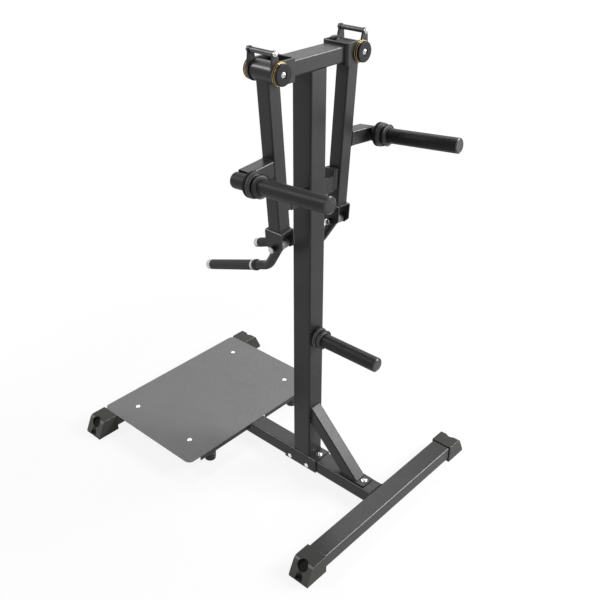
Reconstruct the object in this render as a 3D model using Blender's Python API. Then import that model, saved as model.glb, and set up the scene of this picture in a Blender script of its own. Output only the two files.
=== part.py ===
"""Standing lateral raise machine, modelled as the pieces it is built from.

The frame stands on two cross feet joined by a main beam. A column rises from
the beam and carries a crossbar with a bracket at each end. A swing arm hangs
from each bracket on an axle that runs front to back, leans in against a rest
bumper on the column, carries a horn for weight plates, and holds a swinging
handle in a yoke at its lower end. The user stands on the platform.

Design frame: metres, +Z up, +X to the machine's right, the platform towards
-Y. The column's centre line is x = 0, y = 0 there, and the whole machine is
shifted along Y at the end so that the origin lies under its middle.
"""

import math

import bmesh
import bpy
from mathutils import Matrix, Vector

# Fits shared by every piece
GAP = 0.0003
SIDE_PLAY = 0.001

# Round pieces
ROUND_SIDES = 20
SMALL_SIDES = 12
AXLE_SIDES = 16
CORNER_STEPS = 3
ARC_STEPS = 9
DOME_SHARE = 0.72
DOME_SHOULDER = 0.5
SHARP_ANGLE_DEG = 35

# Cross feet and main beam, all of one flat tube standing on its long sides
BASE_CLEARANCE = 0.0137
BASE_TUBE_DEPTH = 0.074
BASE_TUBE_HEIGHT = 0.053
BASE_TUBE_WALL = 0.003
BASE_TUBE_ROUND = 0.006
BEAM_WIDTH = 0.071
REAR_FOOT_Y = 0.3667
FRONT_FOOT_Y = -0.748
FOOT_TUBE_REACH = 0.4152

# Moulded end caps that the cross feet plug into
CAP_OVERLAP = 0.050
CAP_LENGTH = 0.095
CAP_COVER = 0.004
CAP_ROUND = 0.004
CAP_HEEL = 0.010
CAP_SLOPE_RUN = 0.029
SCOOP_WIDTH = 0.036
SCOOP_DEPTH = 0.013
SCOOP_FLOOR = 0.016

# Column and crossbar
COLUMN_WIDTH = 0.072
COLUMN_DEPTH = 0.078
COLUMN_WALL = 0.003
COLUMN_ROUND = 0.006
PIVOT_HEIGHT = 1.543
CROSSBAR_HEIGHT = 0.0495
CROSSBAR_DEPTH = 0.075
CROSSBAR_REACH = 0.112

# Saddle that straps the column to the main beam
SADDLE_PLATE = 0.004
SADDLE_BEND = 0.006
SADDLE_REAR = 0.075
SADDLE_TOP_FRONT = -0.031
SADDLE_TOE_FRONT = -0.084
SADDLE_BOLT_RADIUS = 0.005
SADDLE_HEAD_RADIUS = 0.008
SADDLE_HEAD_HEIGHT = 0.006
SADDLE_FRONT_BOLT_Y = -0.055
SADDLE_REAR_BOLT_Y = 0.030
SADDLE_BOLT_LIFT = 0.0125

# Brace behind the column
BRACE_SIDE = 0.050
BRACE_ROUND = 0.005
BRACE_WALL = 0.003
BRACE_RISE = 0.2257
BRACE_FOOT_THICKNESS = 0.0055
BRACE_FOOT_WIDTH = 0.0566
BRACE_FOOT_FRONT = 0.184
BRACE_FOOT_REAR = 0.293
BRACE_BOLT_INSET = 0.017
BRACE_BOLT_HOLE = 0.0055

# Storage peg for spare plates, on the column's rear face
PEG_HEIGHT = 0.592
PEG_LENGTH = 0.267
PEG_RADIUS = 0.025
PEG_WALL = 0.003
PEG_COLLAR_RADIUS = 0.038
TUBE_END_ROUND = 0.003

# End brackets: one bent plate each, ears either side of the arm's hub
PIVOT_REACH = 0.181
BRACKET_PLATE = 0.007
BRACKET_BEND = 0.012
BRACKET_INSIDE = 0.086
EAR_RADIUS = 0.034
LUG_RADIUS = 0.010
LUG_SHOULDER = 0.002
STOP_ROD_OUT = 0.019
STOP_ROD_UP = 0.058
STOP_ROD_RADIUS = 0.008
STOP_ROD_SHANK = 0.005
STOP_ROD_HEAD_HEIGHT = 0.0067

# Axle through each bracket, with its bush, rings, caps and end screws
AXLE_RADIUS = 0.0125
BUSH_WALL = 0.003
RING_THICKNESS = 0.0074
RING_RADIUS = 0.034
AXLE_CAP_THICKNESS = 0.008
AXLE_CAP_RADIUS = 0.032
AXLE_CAP_ROUND = 0.002
AXLE_CAP_RECESS = 0.005
AXLE_SCREW_RADIUS = 0.006
AXLE_SCREW_HEAD = 0.010
AXLE_SCREW_HEIGHT = 0.0067

# Swing arms, drawn along their own leaning centre line below the axle
ARM_LEAN_DEG = 4.63
ARM_LENGTH = 0.500
ARM_SIDE = 0.050
ARM_WALL = 0.003
ARM_ROUND = 0.005
HUB_RADIUS = 0.030

# Weight horns and the short tubes that carry them
HORN_DROP = 0.286
HORN_OUT = 0.1382
HORN_RADIUS = 0.025
HORN_WALL = 0.003
HORN_TAIL = 0.027
HORN_REACH = 0.3510
HORN_RISE_DEG = 5.2
HORN_SPLAY_DEG = 2.2
HORN_SET_LOW = 0.0027
HORN_TUBE_END = 0.1245
HORN_TUBE_END_WALL = 0.0185
VENT_RADIUS = 0.004
COLLAR_START = 0.045
COLLAR_RADIUS = 0.040
COLLAR_SETBACK = 0.001
COLLAR_STEP = 0.0132
COLLAR_ROUND = 0.0015

# Yoke under each arm and the handle's pin
YOKE_PLATE = 0.005
YOKE_BEND = 0.008
YOKE_INSIDE = 0.050
YOKE_DEPTH = 0.070
YOKE_HEIGHT = 0.072
YOKE_CORNER = 0.016
PIN_BELOW_ARM = 0.060
PIN_RADIUS = 0.006
PIN_SPACER_RADIUS = 0.010
PIN_SPACER_LENGTH = 0.0137
PIN_HEAD_RADIUS = 0.009
PIN_HEAD_HEIGHT = 0.004

# Handles: a leg from the pin down to a bend, then a straight bar with a grip
SLEEVE_RADIUS = 0.0175
BAR_RADIUS = 0.0155
BAR_WALL = 0.0025
LEG_LENGTH = 0.1134
LEG_DROP_DEG = 58.0
BAR_LENGTH = 0.3254
BAR_DROP_DEG = 19.4
BEND_RADIUS = 0.060
BEND_STEPS = 4
BAR_COLLAR_AT = 0.056
BAR_COLLAR_LENGTH = 0.016
BAR_COLLAR_RADIUS = 0.0195
BAR_COLLAR_ROUND = 0.004
GRIP_RING_LENGTH = 0.009
GRIP_RING_RADIUS = 0.0185
GRIP_RADIUS = 0.0175
GRIP_END_LENGTH = 0.021
GRIP_END_RADIUS = 0.0175
GRIP_END_ROUND = 0.006
GRIP_PLUG_DEPTH = 0.025

# Rest bumpers on the column, which the arms lean against
REST_ABOVE_ARM_END = 0.109
REST_WING_HEIGHT = 0.054
REST_WING_PLATE = 0.006
REST_FLANGE_PLATE = 0.006
REST_FLANGE_WIDTH = 0.044
REST_FLANGE_Y = -0.003
REST_FLANGE_RISE = 0.016
REST_FLANGE_HEIGHT = 0.070
REST_PAD_THICKNESS = 0.017
REST_EDGE_ROUND = 0.001
REST_PAD_ROUND = 0.003

# Platform: tread plate on two flat rails, with a folded rear lip
PLATE_FRONT_OVERHANG = 0.0069
PLATE_REAR = -0.2675
PLATE_THICKNESS = 0.002
PLATE_CORNER = 0.025
LIP_HEIGHT = 0.0175
LIP_END_INSET = 0.0566
LIP_BEAM_MARGIN = 0.006
RAIL_INSET = 0.1106
RAIL_WIDTH = 0.060
RAIL_HEIGHT = 0.017
RAIL_WALL = 0.002
RAIL_ROUND = 0.003
RAIL_LIP_CLEARANCE = 0.004
PAD_FOOT_RADIUS = 0.0235
PAD_FOOT_BASE_RADIUS = 0.0215
PAD_FOOT_EDGE = 0.002
PAD_FOOT_INWARD = 0.0205
PAD_FOOT_Y = -0.299
PLATE_BOLT_OUTWARD = 0.016
PLATE_BOLT_FRONT_Y = -0.691
PLATE_BOLT_REAR_Y = -0.3736
PLATE_BOLT_HOLE = 0.0045

# Levels and places that follow from the sizes above
BASE_TOP = BASE_CLEARANCE + BASE_TUBE_HEIGHT
BASE_MIDDLE = BASE_CLEARANCE + BASE_TUBE_HEIGHT / 2
FOOT_HALF_DEPTH = BASE_TUBE_DEPTH / 2
CAP_HALF_DEPTH = FOOT_HALF_DEPTH + GAP + CAP_COVER
CAP_HEIGHT = BASE_TOP + GAP + CAP_COVER
SADDLE_TOP = BASE_TOP + GAP + SADDLE_PLATE
CAP_MOUTH = FOOT_TUBE_REACH - CAP_OVERLAP
PLATE_HALF_WIDTH = CAP_MOUTH - 2 * GAP
PLATE_FRONT = FRONT_FOOT_Y - FOOT_HALF_DEPTH - PLATE_FRONT_OVERHANG
RAIL_X = PLATE_HALF_WIDTH - RAIL_INSET
LIP_REACH = PLATE_HALF_WIDTH - LIP_END_INSET
PAD_FOOT_X = RAIL_X - PAD_FOOT_INWARD
PLATE_BOLT_X = RAIL_X + PLATE_BOLT_OUTWARD
HORN_TUBE_DROP = HORN_DROP - HORN_SET_LOW
HANDLE_DROP = ARM_LENGTH + PIN_BELOW_ARM
REST_HEIGHT = PIVOT_HEIGHT - ARM_LENGTH + REST_ABOVE_ARM_END
FRONT_LIMIT = min(PLATE_FRONT, FRONT_FOOT_Y - CAP_HALF_DEPTH)
REAR_LIMIT = REAR_FOOT_Y + CAP_HALF_DEPTH
MACHINE_SHIFT = -(FRONT_LIMIT + REAR_LIMIT) / 2
BRACKET_HALF_WIDTH = BRACKET_INSIDE / 2 + BRACKET_PLATE
RING_OUTER_Y = BRACKET_HALF_WIDTH + GAP + RING_THICKNESS
CAP_INNER_Y = RING_OUTER_Y + GAP
CAP_OUTER_Y = CAP_INNER_Y + AXLE_CAP_THICKNESS
HUB_HALF_WIDTH = BRACKET_INSIDE / 2 - SIDE_PLAY

# Turns a drawing plane to face: outlines are drawn flat and then stood up
STAND_XZ = Matrix.Rotation(math.radians(90), 4, "X")
STAND_YZ = Matrix(((0, 0, 1, 0), (1, 0, 0, 0), (0, 1, 0, 0), (0, 0, 0, 1)))
HANG_YZ = Matrix(((0, -1, 0, 0), (0, 0, 1, 0), (-1, 0, 0, 0), (0, 0, 0, 1)))
ALONG_X = Matrix.Rotation(math.radians(90), 4, "Y")
ALONG_Y = Matrix.Rotation(math.radians(-90), 4, "X")
MIRROR = Matrix.Scale(-1, 4, Vector((1, 0, 0)))
SIDES = (("right", 1), ("left", -1))


def clear_scene():
    for old in list(bpy.data.objects):
        bpy.data.objects.remove(old, do_unlink=True)


def make_material(name, color, roughness, metallic):
    material = bpy.data.materials.new(name)
    material.use_nodes = True
    shader = material.node_tree.nodes["Principled BSDF"]
    shader.inputs["Base Color"].default_value = (*color, 1.0)
    shader.inputs["Roughness"].default_value = roughness
    shader.inputs["Metallic"].default_value = metallic
    material.diffuse_color = (*color, 1.0)
    return material


def move(x=0.0, y=0.0, z=0.0):
    return Matrix.Translation((x, y, z))


# Outlines, as lists of flat points that run anticlockwise

def arc(center, radius, start_deg, end_deg, steps):
    points = []
    for step in range(steps + 1):
        angle = math.radians(start_deg + (end_deg - start_deg) * step / steps)
        u = center[0] + radius * math.cos(angle)
        v = center[1] + radius * math.sin(angle)
        points.append((u, v))
    return points


def rounded_rectangle(width, height, radius, steps=CORNER_STEPS):
    u = width / 2 - radius
    v = height / 2 - radius
    points = arc((u, v), radius, 0, 90, steps)
    points += arc((-u, v), radius, 90, 180, steps)
    points += arc((-u, -v), radius, 180, 270, steps)
    points += arc((u, -v), radius, 270, 360, steps)
    return points


def tangent(first, first_radius, second, second_radius, side):
    """Ends of the line that touches two circles on the same side."""
    run = second[0] - first[0]
    rise = second[1] - first[1]
    heading = math.atan2(rise, run)
    spread = math.acos((first_radius - second_radius) / math.hypot(run, rise))
    angle = heading + side * spread
    direction = (math.cos(angle), math.sin(angle))
    start = (first[0] + first_radius * direction[0], first[1] + first_radius * direction[1])
    end = (second[0] + second_radius * direction[0], second[1] + second_radius * direction[1])
    return start, end, math.degrees(angle)


def channel_outline(inside, thickness, bend, length):
    """A U of bent plate, its back on u = 0 and its open end at u = length."""
    outer = inside / 2 + thickness
    inner = inside / 2
    inner_bend = bend - thickness
    points = arc((bend, outer - bend), bend, 90, 180, CORNER_STEPS)
    points += arc((bend, bend - outer), bend, 180, 270, CORNER_STEPS)
    points += [(length, -outer), (length, -inner)]
    points += arc((bend, inner_bend - inner), inner_bend, 270, 180, CORNER_STEPS)
    points += arc((bend, inner - inner_bend), inner_bend, 180, 90, CORNER_STEPS)
    points += [(length, inner), (length, outer)]
    return points


# Solids, as edit meshes that are closed and face outwards

def finish_solid(mesh):
    bmesh.ops.recalc_face_normals(mesh, faces=mesh.faces[:])
    return mesh


def prism(outline, low, high, hole=None):
    """An outline drawn in XY and pulled from low to high along Z."""
    mesh = bmesh.new()
    bottom = [mesh.verts.new((u, v, low)) for u, v in outline]
    top = [mesh.verts.new((u, v, high)) for u, v in outline]
    join_rings(mesh, bottom, top)
    if hole is None:
        mesh.faces.new(bottom)
        mesh.faces.new(top)
        return finish_solid(mesh)
    inner_bottom = [mesh.verts.new((u, v, low)) for u, v in hole]
    inner_top = [mesh.verts.new((u, v, high)) for u, v in hole]
    join_rings(mesh, inner_bottom, inner_top)
    join_rings(mesh, bottom, inner_bottom)
    join_rings(mesh, top, inner_top)
    return finish_solid(mesh)


def join_rings(mesh, first, second):
    count = len(first)
    for index in range(count):
        following = (index + 1) % count
        corners = (first[index], first[following], second[following], second[index])
        mesh.faces.new(corners)


def box_tube(width, height, radius, wall, low, high):
    outline = rounded_rectangle(width, height, radius)
    inner_radius = max(radius - wall, GAP)
    hole = rounded_rectangle(width - 2 * wall, height - 2 * wall, inner_radius)
    return prism(outline, low, high, hole)


def turned(profile, sides=ROUND_SIDES, ring=False):
    """A profile of (radius, height) points spun about Z.

    A solid's profile starts and ends on the axis. A ring's profile closes on
    itself and stays off the axis.
    """
    mesh = bmesh.new()
    rows = []
    for radius, height in profile:
        if radius == 0:
            rows.append([mesh.verts.new((0, 0, height))])
            continue
        row = []
        for side in range(sides):
            angle = 2 * math.pi * side / sides
            row.append(mesh.verts.new((radius * math.cos(angle), radius * math.sin(angle), height)))
        rows.append(row)
    pairs = list(zip(rows, rows[1:]))
    if ring:
        pairs.append((rows[-1], rows[0]))
    for first, second in pairs:
        if len(first) == 1:
            close_fan(mesh, first[0], second)
        elif len(second) == 1:
            close_fan(mesh, second[0], first)
        else:
            join_rings(mesh, first, second)
    return finish_solid(mesh)


def close_fan(mesh, tip, row):
    for index, vertex in enumerate(row):
        mesh.faces.new((tip, vertex, row[(index + 1) % len(row)]))


def cylinder(radius, low, high, sides=ROUND_SIDES):
    return turned([(0, low), (radius, low), (radius, high), (0, high)], sides)


def ring(inner, outer, low, high, sides=ROUND_SIDES):
    return turned([(inner, low), (outer, low), (outer, high), (inner, high)], sides, ring=True)


def swept_pipe(path, outer, inner, sides):
    """A pipe along a path of (y, z) points, open at both ends."""
    mesh = bmesh.new()
    rows = []
    for index, (y, z) in enumerate(path):
        before = path[max(index - 1, 0)]
        after = path[min(index + 1, len(path) - 1)]
        along = Vector((0, after[0] - before[0], after[1] - before[1])).normalized()
        across = Vector((1, 0, 0))
        upward = along.cross(across)
        outside = []
        inside = []
        for side in range(sides):
            angle = 2 * math.pi * side / sides
            spoke = across * math.cos(angle) + upward * math.sin(angle)
            center = Vector((0, y, z))
            outside.append(mesh.verts.new(center + spoke * outer))
            inside.append(mesh.verts.new(center + spoke * inner))
        rows.append((outside, inside))
    for first, second in zip(rows, rows[1:]):
        join_rings(mesh, first[0], second[0])
        join_rings(mesh, first[1], second[1])
    for outside, inside in (rows[0], rows[-1]):
        join_rings(mesh, outside, inside)
    return finish_solid(mesh)


# Placing pieces and shaping them with their neighbours

def add_object(name, mesh, place, parent, side, material=None):
    """Adds a solid, or its mirror image where side is -1."""
    if side < 0:
        bmesh.ops.transform(mesh, matrix=MIRROR, verts=mesh.verts[:])
        bmesh.ops.reverse_faces(mesh, faces=mesh.faces[:])
        place = MIRROR @ place @ MIRROR
    data = bpy.data.meshes.new(name)
    mesh.to_mesh(data)
    mesh.free()
    made = bpy.data.objects.new(name, data)
    bpy.context.scene.collection.objects.link(made)
    made.parent = parent
    made.matrix_local = place
    if material is not None:
        data.materials.append(material)
        data.shade_smooth()
        data.set_sharp_from_angle(angle=math.radians(SHARP_ANGLE_DEG))
    return made


def add_guide(name, mesh, place, parent, side=1):
    """A solid that only cuts or joins, and isn't a piece itself."""
    guide = add_object(name, mesh, place, parent, side)
    guide.hide_render = True
    guide.display_type = "WIRE"
    return guide


def combine(target, other, operation):
    modifier = target.modifiers.new(other.name, "BOOLEAN")
    modifier.operation = operation
    modifier.solver = "EXACT"
    modifier.object = other


def round_edges(target, width, segments=2):
    modifier = target.modifiers.new("rounded_edges", "BEVEL")
    modifier.width = width
    modifier.segments = segments
    modifier.limit_method = "ANGLE"
    modifier.angle_limit = math.radians(SHARP_ANGLE_DEG)


def add_empty(name, place, parent, side=1):
    empty = bpy.data.objects.new(name, None)
    bpy.context.scene.collection.objects.link(empty)
    empty.empty_display_size = 0.05
    empty.parent = parent
    empty.matrix_local = place if side > 0 else MIRROR @ place @ MIRROR
    return empty


# Cross feet, main beam and end caps

def build_base(root, steel):
    foot = (BASE_TUBE_HEIGHT, BASE_TUBE_DEPTH, BASE_TUBE_ROUND, BASE_TUBE_WALL)
    for name, y in (("rear_stabilizer", REAR_FOOT_Y), ("front_stabilizer", FRONT_FOOT_Y)):
        tube = box_tube(*foot, -FOOT_TUBE_REACH, FOOT_TUBE_REACH)
        add_object(name, tube, move(0, y, BASE_MIDDLE) @ ALONG_X, root, 1, steel)
    front = FRONT_FOOT_Y + FOOT_HALF_DEPTH + GAP
    rear = REAR_FOOT_Y - FOOT_HALF_DEPTH - GAP
    tube = box_tube(BEAM_WIDTH, BASE_TUBE_HEIGHT, BASE_TUBE_ROUND, BASE_TUBE_WALL, front, rear)
    beam = add_object("main_beam", tube, move(z=BASE_MIDDLE) @ ALONG_Y, root, 1, steel)
    for label, y, lift in saddle_bolt_places():
        hole = cylinder(SADDLE_BOLT_RADIUS + GAP, -BEAM_WIDTH, BEAM_WIDTH, SMALL_SIDES)
        place = move(0, y, BASE_CLEARANCE + lift) @ ALONG_X
        combine(beam, add_guide("beam_hole_" + label, hole, place, root), "DIFFERENCE")


def build_end_caps(root, rubber):
    tip = CAP_MOUTH + CAP_LENGTH
    outline = [(CAP_MOUTH, 0), (tip, 0), (tip, CAP_HEEL)]
    outline += [(tip - CAP_SLOPE_RUN, CAP_HEIGHT), (CAP_MOUTH, CAP_HEIGHT)]
    for end, y in (("rear", REAR_FOOT_Y), ("front", FRONT_FOOT_Y)):
        for label, side in SIDES:
            name = f"{end}_cap_{label}"
            block = prism(outline, -CAP_HALF_DEPTH, CAP_HALF_DEPTH)
            cap = add_object(name, block, move(y=y) @ STAND_XZ, root, side, rubber)
            round_edges(cap, CAP_ROUND)
            socket = add_guide(name + "_socket", cap_socket(), move(0, y, BASE_MIDDLE) @ ALONG_X, root, side)
            combine(cap, socket, "DIFFERENCE")
            scoop = add_guide(name + "_scoop", cap_scoop(tip), move(y=y) @ STAND_YZ, root, side)
            combine(cap, scoop, "DIFFERENCE")


def cap_socket():
    """The space the cross foot plugs into, open at the cap's mouth."""
    height = BASE_TUBE_HEIGHT + 2 * GAP
    depth = BASE_TUBE_DEPTH + 2 * GAP
    outline = rounded_rectangle(height, depth, BASE_TUBE_ROUND)
    return prism(outline, CAP_MOUTH - CAP_COVER, FOOT_TUBE_REACH + GAP)


def cap_scoop(tip):
    """The U-shaped recess in the sloping end, open at its top."""
    half = SCOOP_WIDTH / 2
    back = tip - CAP_SLOPE_RUN - SCOOP_DEPTH
    outline = arc((0, SCOOP_FLOOR + half), half, 180, 360, ARC_STEPS)
    outline += [(half, 2 * CAP_HEIGHT), (-half, 2 * CAP_HEIGHT)]
    return prism(outline, back, tip + SCOOP_DEPTH)


# Column, crossbar, saddle, brace and storage peg

def build_column(root, steel):
    low = SADDLE_TOP + GAP
    high = PIVOT_HEIGHT - CROSSBAR_HEIGHT / 2 - GAP
    tube = box_tube(COLUMN_WIDTH, COLUMN_DEPTH, COLUMN_ROUND, COLUMN_WALL, low, high)
    add_object("upright", tube, move(), root, 1, steel)
    bar = box_tube(CROSSBAR_HEIGHT, CROSSBAR_DEPTH, COLUMN_ROUND, COLUMN_WALL, -CROSSBAR_REACH, CROSSBAR_REACH)
    add_object("crossbar", bar, move(z=PIVOT_HEIGHT) @ ALONG_X, root, 1, steel)


def saddle_bolt_places():
    return (("front", SADDLE_FRONT_BOLT_Y, SADDLE_BOLT_LIFT), ("rear", SADDLE_REAR_BOLT_Y, SADDLE_BOLT_LIFT))


def build_saddle(root, steel, chrome):
    """A bent plate over the beam, its cheeks cut to a slant at the front."""
    inside = BEAM_WIDTH + 2 * GAP
    drop = SADDLE_TOP - BASE_CLEARANCE
    strip = prism(channel_outline(inside, SADDLE_PLATE, SADDLE_BEND, drop), SADDLE_TOE_FRONT, SADDLE_REAR)
    saddle = add_object("upright_saddle", strip, move(z=SADDLE_TOP) @ HANG_YZ, root, 1, steel)
    reach = 2 * BEAM_WIDTH
    slant_run = SADDLE_TOP_FRONT - SADDLE_TOE_FRONT
    wedge = [
        (SADDLE_TOE_FRONT, BASE_CLEARANCE),
        (SADDLE_TOP_FRONT, SADDLE_TOP),
        (SADDLE_TOP_FRONT + slant_run, 2 * SADDLE_TOP - BASE_CLEARANCE),
        (SADDLE_TOE_FRONT - slant_run, 2 * SADDLE_TOP - BASE_CLEARANCE),
        (SADDLE_TOE_FRONT - slant_run, BASE_CLEARANCE),
    ]
    cutter = add_guide("saddle_slant", prism(wedge, -reach, reach), STAND_YZ, root)
    combine(saddle, cutter, "DIFFERENCE")
    cheek = inside / 2 + SADDLE_PLATE
    for label, y, lift in saddle_bolt_places():
        place = move(0, y, BASE_CLEARANCE + lift) @ ALONG_X
        hole = cylinder(SADDLE_BOLT_RADIUS + GAP, -reach, reach, SMALL_SIDES)
        combine(saddle, add_guide("saddle_hole_" + label, hole, place, root), "DIFFERENCE")
        add_object("saddle_bolt_" + label, double_bolt(
            cheek + GAP, SADDLE_BOLT_RADIUS, SADDLE_HEAD_RADIUS, SADDLE_HEAD_HEIGHT), place, root, 1, chrome)


def double_bolt(half_grip, shank, head, height, step=None, step_radius=None):
    """A bolt along Z with a domed head at each end of its grip.

    With a step, the middle of the shank is a thicker rod that ends at step.
    """
    top = half_grip + height
    half = [(shank, half_grip), (head, half_grip), (head, half_grip + height * DOME_SHOULDER)]
    half += [(head * DOME_SHARE, top), (0, top)]
    if step is not None:
        half = [(step_radius, step), (shank, step)] + half
    mirrored = [(radius, -level) for radius, level in reversed(half)]
    return turned(mirrored + half, SMALL_SIDES)


def build_brace(root, steel):
    """A square tube at 45 degrees, cut to the column and to its foot plate."""
    foot_low = BASE_TOP + GAP
    foot_high = foot_low + BRACE_FOOT_THICKNESS
    column_face = COLUMN_DEPTH / 2 + GAP
    drop = BRACE_SIDE * math.sqrt(2)
    length = 2 * BRACE_RISE
    tilt = move(0, column_face, foot_low + BRACE_RISE - drop / 2) @ Matrix.Rotation(math.radians(45), 4, "X")
    outline = rounded_rectangle(BRACE_SIDE, BRACE_SIDE, BRACE_ROUND)
    body = prism(outline, -length, length)
    brace = add_object("brace", body, tilt, root, 1, steel)
    beside = [
        (column_face, foot_low + BRACE_FOOT_THICKNESS / 2),
        (column_face + length, foot_low + BRACE_FOOT_THICKNESS / 2),
        (column_face + length, length),
        (column_face, length),
    ]
    room = add_guide("brace_room", prism(beside, -BRACE_SIDE, BRACE_SIDE), STAND_YZ, root)
    combine(brace, room, "INTERSECT")
    bore_side = BRACE_SIDE - 2 * BRACE_WALL
    bore_outline = rounded_rectangle(bore_side, bore_side, BRACE_ROUND - BRACE_WALL)
    bore = add_guide("brace_bore", prism(bore_outline, -length, length), tilt, root)
    combine(brace, bore, "DIFFERENCE")
    plate_length = BRACE_FOOT_REAR - BRACE_FOOT_FRONT
    plate_outline = rounded_rectangle(BRACE_FOOT_WIDTH, plate_length, BRACE_ROUND)
    plate_place = move(y=BRACE_FOOT_FRONT + plate_length / 2)
    plate = add_guide("brace_foot", prism(plate_outline, foot_low, foot_high), plate_place, root)
    combine(brace, plate, "UNION")
    bolt_place = move(y=BRACE_FOOT_REAR - BRACE_BOLT_INSET)
    hole = cylinder(BRACE_BOLT_HOLE, 0, 2 * foot_high, SMALL_SIDES)
    combine(brace, add_guide("brace_hole", hole, bolt_place, root), "DIFFERENCE")


def vented_rod(radius, wall, low, high):
    """A closed tube with rounded ends and a small vent in its low end."""
    bore = radius - wall
    rim = TUBE_END_ROUND
    profile = [(0, high), (radius - rim, high), (radius, high - rim)]
    profile += [(radius, low + rim), (radius - rim, low), (VENT_RADIUS, low)]
    profile += [(VENT_RADIUS, low + wall), (bore, low + wall), (bore, high - wall), (0, high - wall)]
    return turned(profile)


def build_storage_peg(root, steel, rubber):
    place = move(0, COLUMN_DEPTH / 2 + GAP, PEG_HEIGHT) @ ALONG_Y
    add_object("storage_peg", vented_rod(PEG_RADIUS, PEG_WALL, 0, PEG_LENGTH), place, root, 1, steel)
    add_object("peg_collar", stepped_collar(PEG_RADIUS, PEG_COLLAR_RADIUS, 0), place, root, 1, rubber)


def stepped_collar(inner, outer, start):
    """A rubber collar of two steps, the outer one a little smaller."""
    bore = inner + GAP
    edge = COLLAR_ROUND
    front = outer - COLLAR_SETBACK
    middle = start + COLLAR_STEP
    end = middle + COLLAR_STEP
    profile = [(bore, start), (outer - edge, start), (outer, start + edge), (outer, middle - edge)]
    profile += [(front, middle), (front, end - edge), (front - edge, end), (bore, end)]
    return turned(profile, ring=True)


# End brackets with their axles and stop rods

def ear_outline(back):
    """Side view of a bracket about its axle: round nose and upward lug."""
    rod = (STOP_ROD_OUT, STOP_ROD_UP)
    nose_end, lug_start, nose_deg = tangent((0, 0), EAR_RADIUS, rod, LUG_RADIUS, -1)
    shoulder = (LUG_SHOULDER, EAR_RADIUS)
    lug_end_deg = tangent(shoulder, 0, rod, LUG_RADIUS, 1)[2]
    points = [(back, -EAR_RADIUS)]
    points += arc((0, 0), EAR_RADIUS, -90, nose_deg, ARC_STEPS)
    points += arc(rod, LUG_RADIUS, nose_deg, lug_end_deg, ARC_STEPS)
    points += [shoulder, (back, EAR_RADIUS)]
    return points


def build_pivot(root, label, side, steel, brass, plastic, chrome):
    axle_place = move(PIVOT_REACH, 0, PIVOT_HEIGHT)
    back = CROSSBAR_REACH + GAP
    depth = PIVOT_REACH - back
    name = "end_bracket_" + label
    strip = prism(
        channel_outline(BRACKET_INSIDE, BRACKET_PLATE, BRACKET_BEND, depth + 2 * EAR_RADIUS),
        -2 * EAR_RADIUS, STOP_ROD_UP + EAR_RADIUS)
    bracket = add_object(name, strip, move(back, 0, PIVOT_HEIGHT), root, side, steel)
    outline = ear_outline(-2 * depth)
    silhouette = prism(outline, -2 * BRACKET_HALF_WIDTH, 2 * BRACKET_HALF_WIDTH)
    guide = add_guide(name + "_side_view", silhouette, axle_place @ STAND_XZ, root, side)
    combine(bracket, guide, "INTERSECT")
    axle_hole = cylinder(AXLE_RADIUS + GAP, -CAP_OUTER_Y, CAP_OUTER_Y)
    rod_hole = cylinder(STOP_ROD_SHANK + GAP, -CAP_OUTER_Y, CAP_OUTER_Y, SMALL_SIDES)
    rod_place = axle_place @ move(STOP_ROD_OUT, 0, STOP_ROD_UP)
    combine(bracket, add_guide(name + "_axle_hole", axle_hole, axle_place @ ALONG_Y, root, side), "DIFFERENCE")
    combine(bracket, add_guide(name + "_rod_hole", rod_hole, rod_place @ ALONG_Y, root, side), "DIFFERENCE")

    rod = double_bolt(
        BRACKET_HALF_WIDTH + GAP, STOP_ROD_SHANK, STOP_ROD_RADIUS, STOP_ROD_HEAD_HEIGHT,
        BRACKET_INSIDE / 2 - GAP, STOP_ROD_RADIUS)
    add_object("stop_rod_" + label, rod, rod_place @ ALONG_Y, root, side, steel)

    add_object("pivot_axle_" + label, axle_solid(), axle_place @ ALONG_Y, root, side, chrome)
    for end, turn in (("rear", 0), ("front", 180)):
        place = axle_place @ Matrix.Rotation(math.radians(turn), 4, "Z") @ ALONG_Y
        washer = ring(AXLE_RADIUS + GAP, RING_RADIUS, BRACKET_HALF_WIDTH + GAP, RING_OUTER_Y)
        add_object(f"pivot_ring_{end}_{label}", washer, place, root, side, brass)
        add_object(f"pivot_cap_{end}_{label}", axle_cap(), place, root, side, plastic)


def axle_solid():
    """The axle with a screw head at each end that holds its cap."""
    seat = CAP_OUTER_Y - AXLE_CAP_RECESS + GAP
    top = seat + AXLE_SCREW_HEIGHT
    half = [(AXLE_RADIUS, RING_OUTER_Y), (AXLE_SCREW_RADIUS, RING_OUTER_Y), (AXLE_SCREW_RADIUS, seat)]
    half += [(AXLE_SCREW_HEAD, seat), (AXLE_SCREW_HEAD, seat + AXLE_SCREW_HEIGHT * DOME_SHOULDER)]
    half += [(AXLE_SCREW_HEAD * DOME_SHARE, top), (0, top)]
    mirrored = [(radius, -level) for radius, level in reversed(half)]
    return turned(mirrored + half, AXLE_SIDES)


def axle_cap():
    recess = AXLE_SCREW_HEAD + SIDE_PLAY
    hole = AXLE_SCREW_RADIUS + GAP
    floor = CAP_OUTER_Y - AXLE_CAP_RECESS
    profile = [(hole, CAP_INNER_Y), (AXLE_CAP_RADIUS, CAP_INNER_Y)]
    profile += [(AXLE_CAP_RADIUS, CAP_OUTER_Y - AXLE_CAP_ROUND)]
    profile += [(AXLE_CAP_RADIUS - AXLE_CAP_ROUND, CAP_OUTER_Y), (recess, CAP_OUTER_Y)]
    profile += [(recess, floor), (hole, floor)]
    return turned(profile, ring=True)


# Swing arms, with everything placed from the axle along the leaning tube

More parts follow.
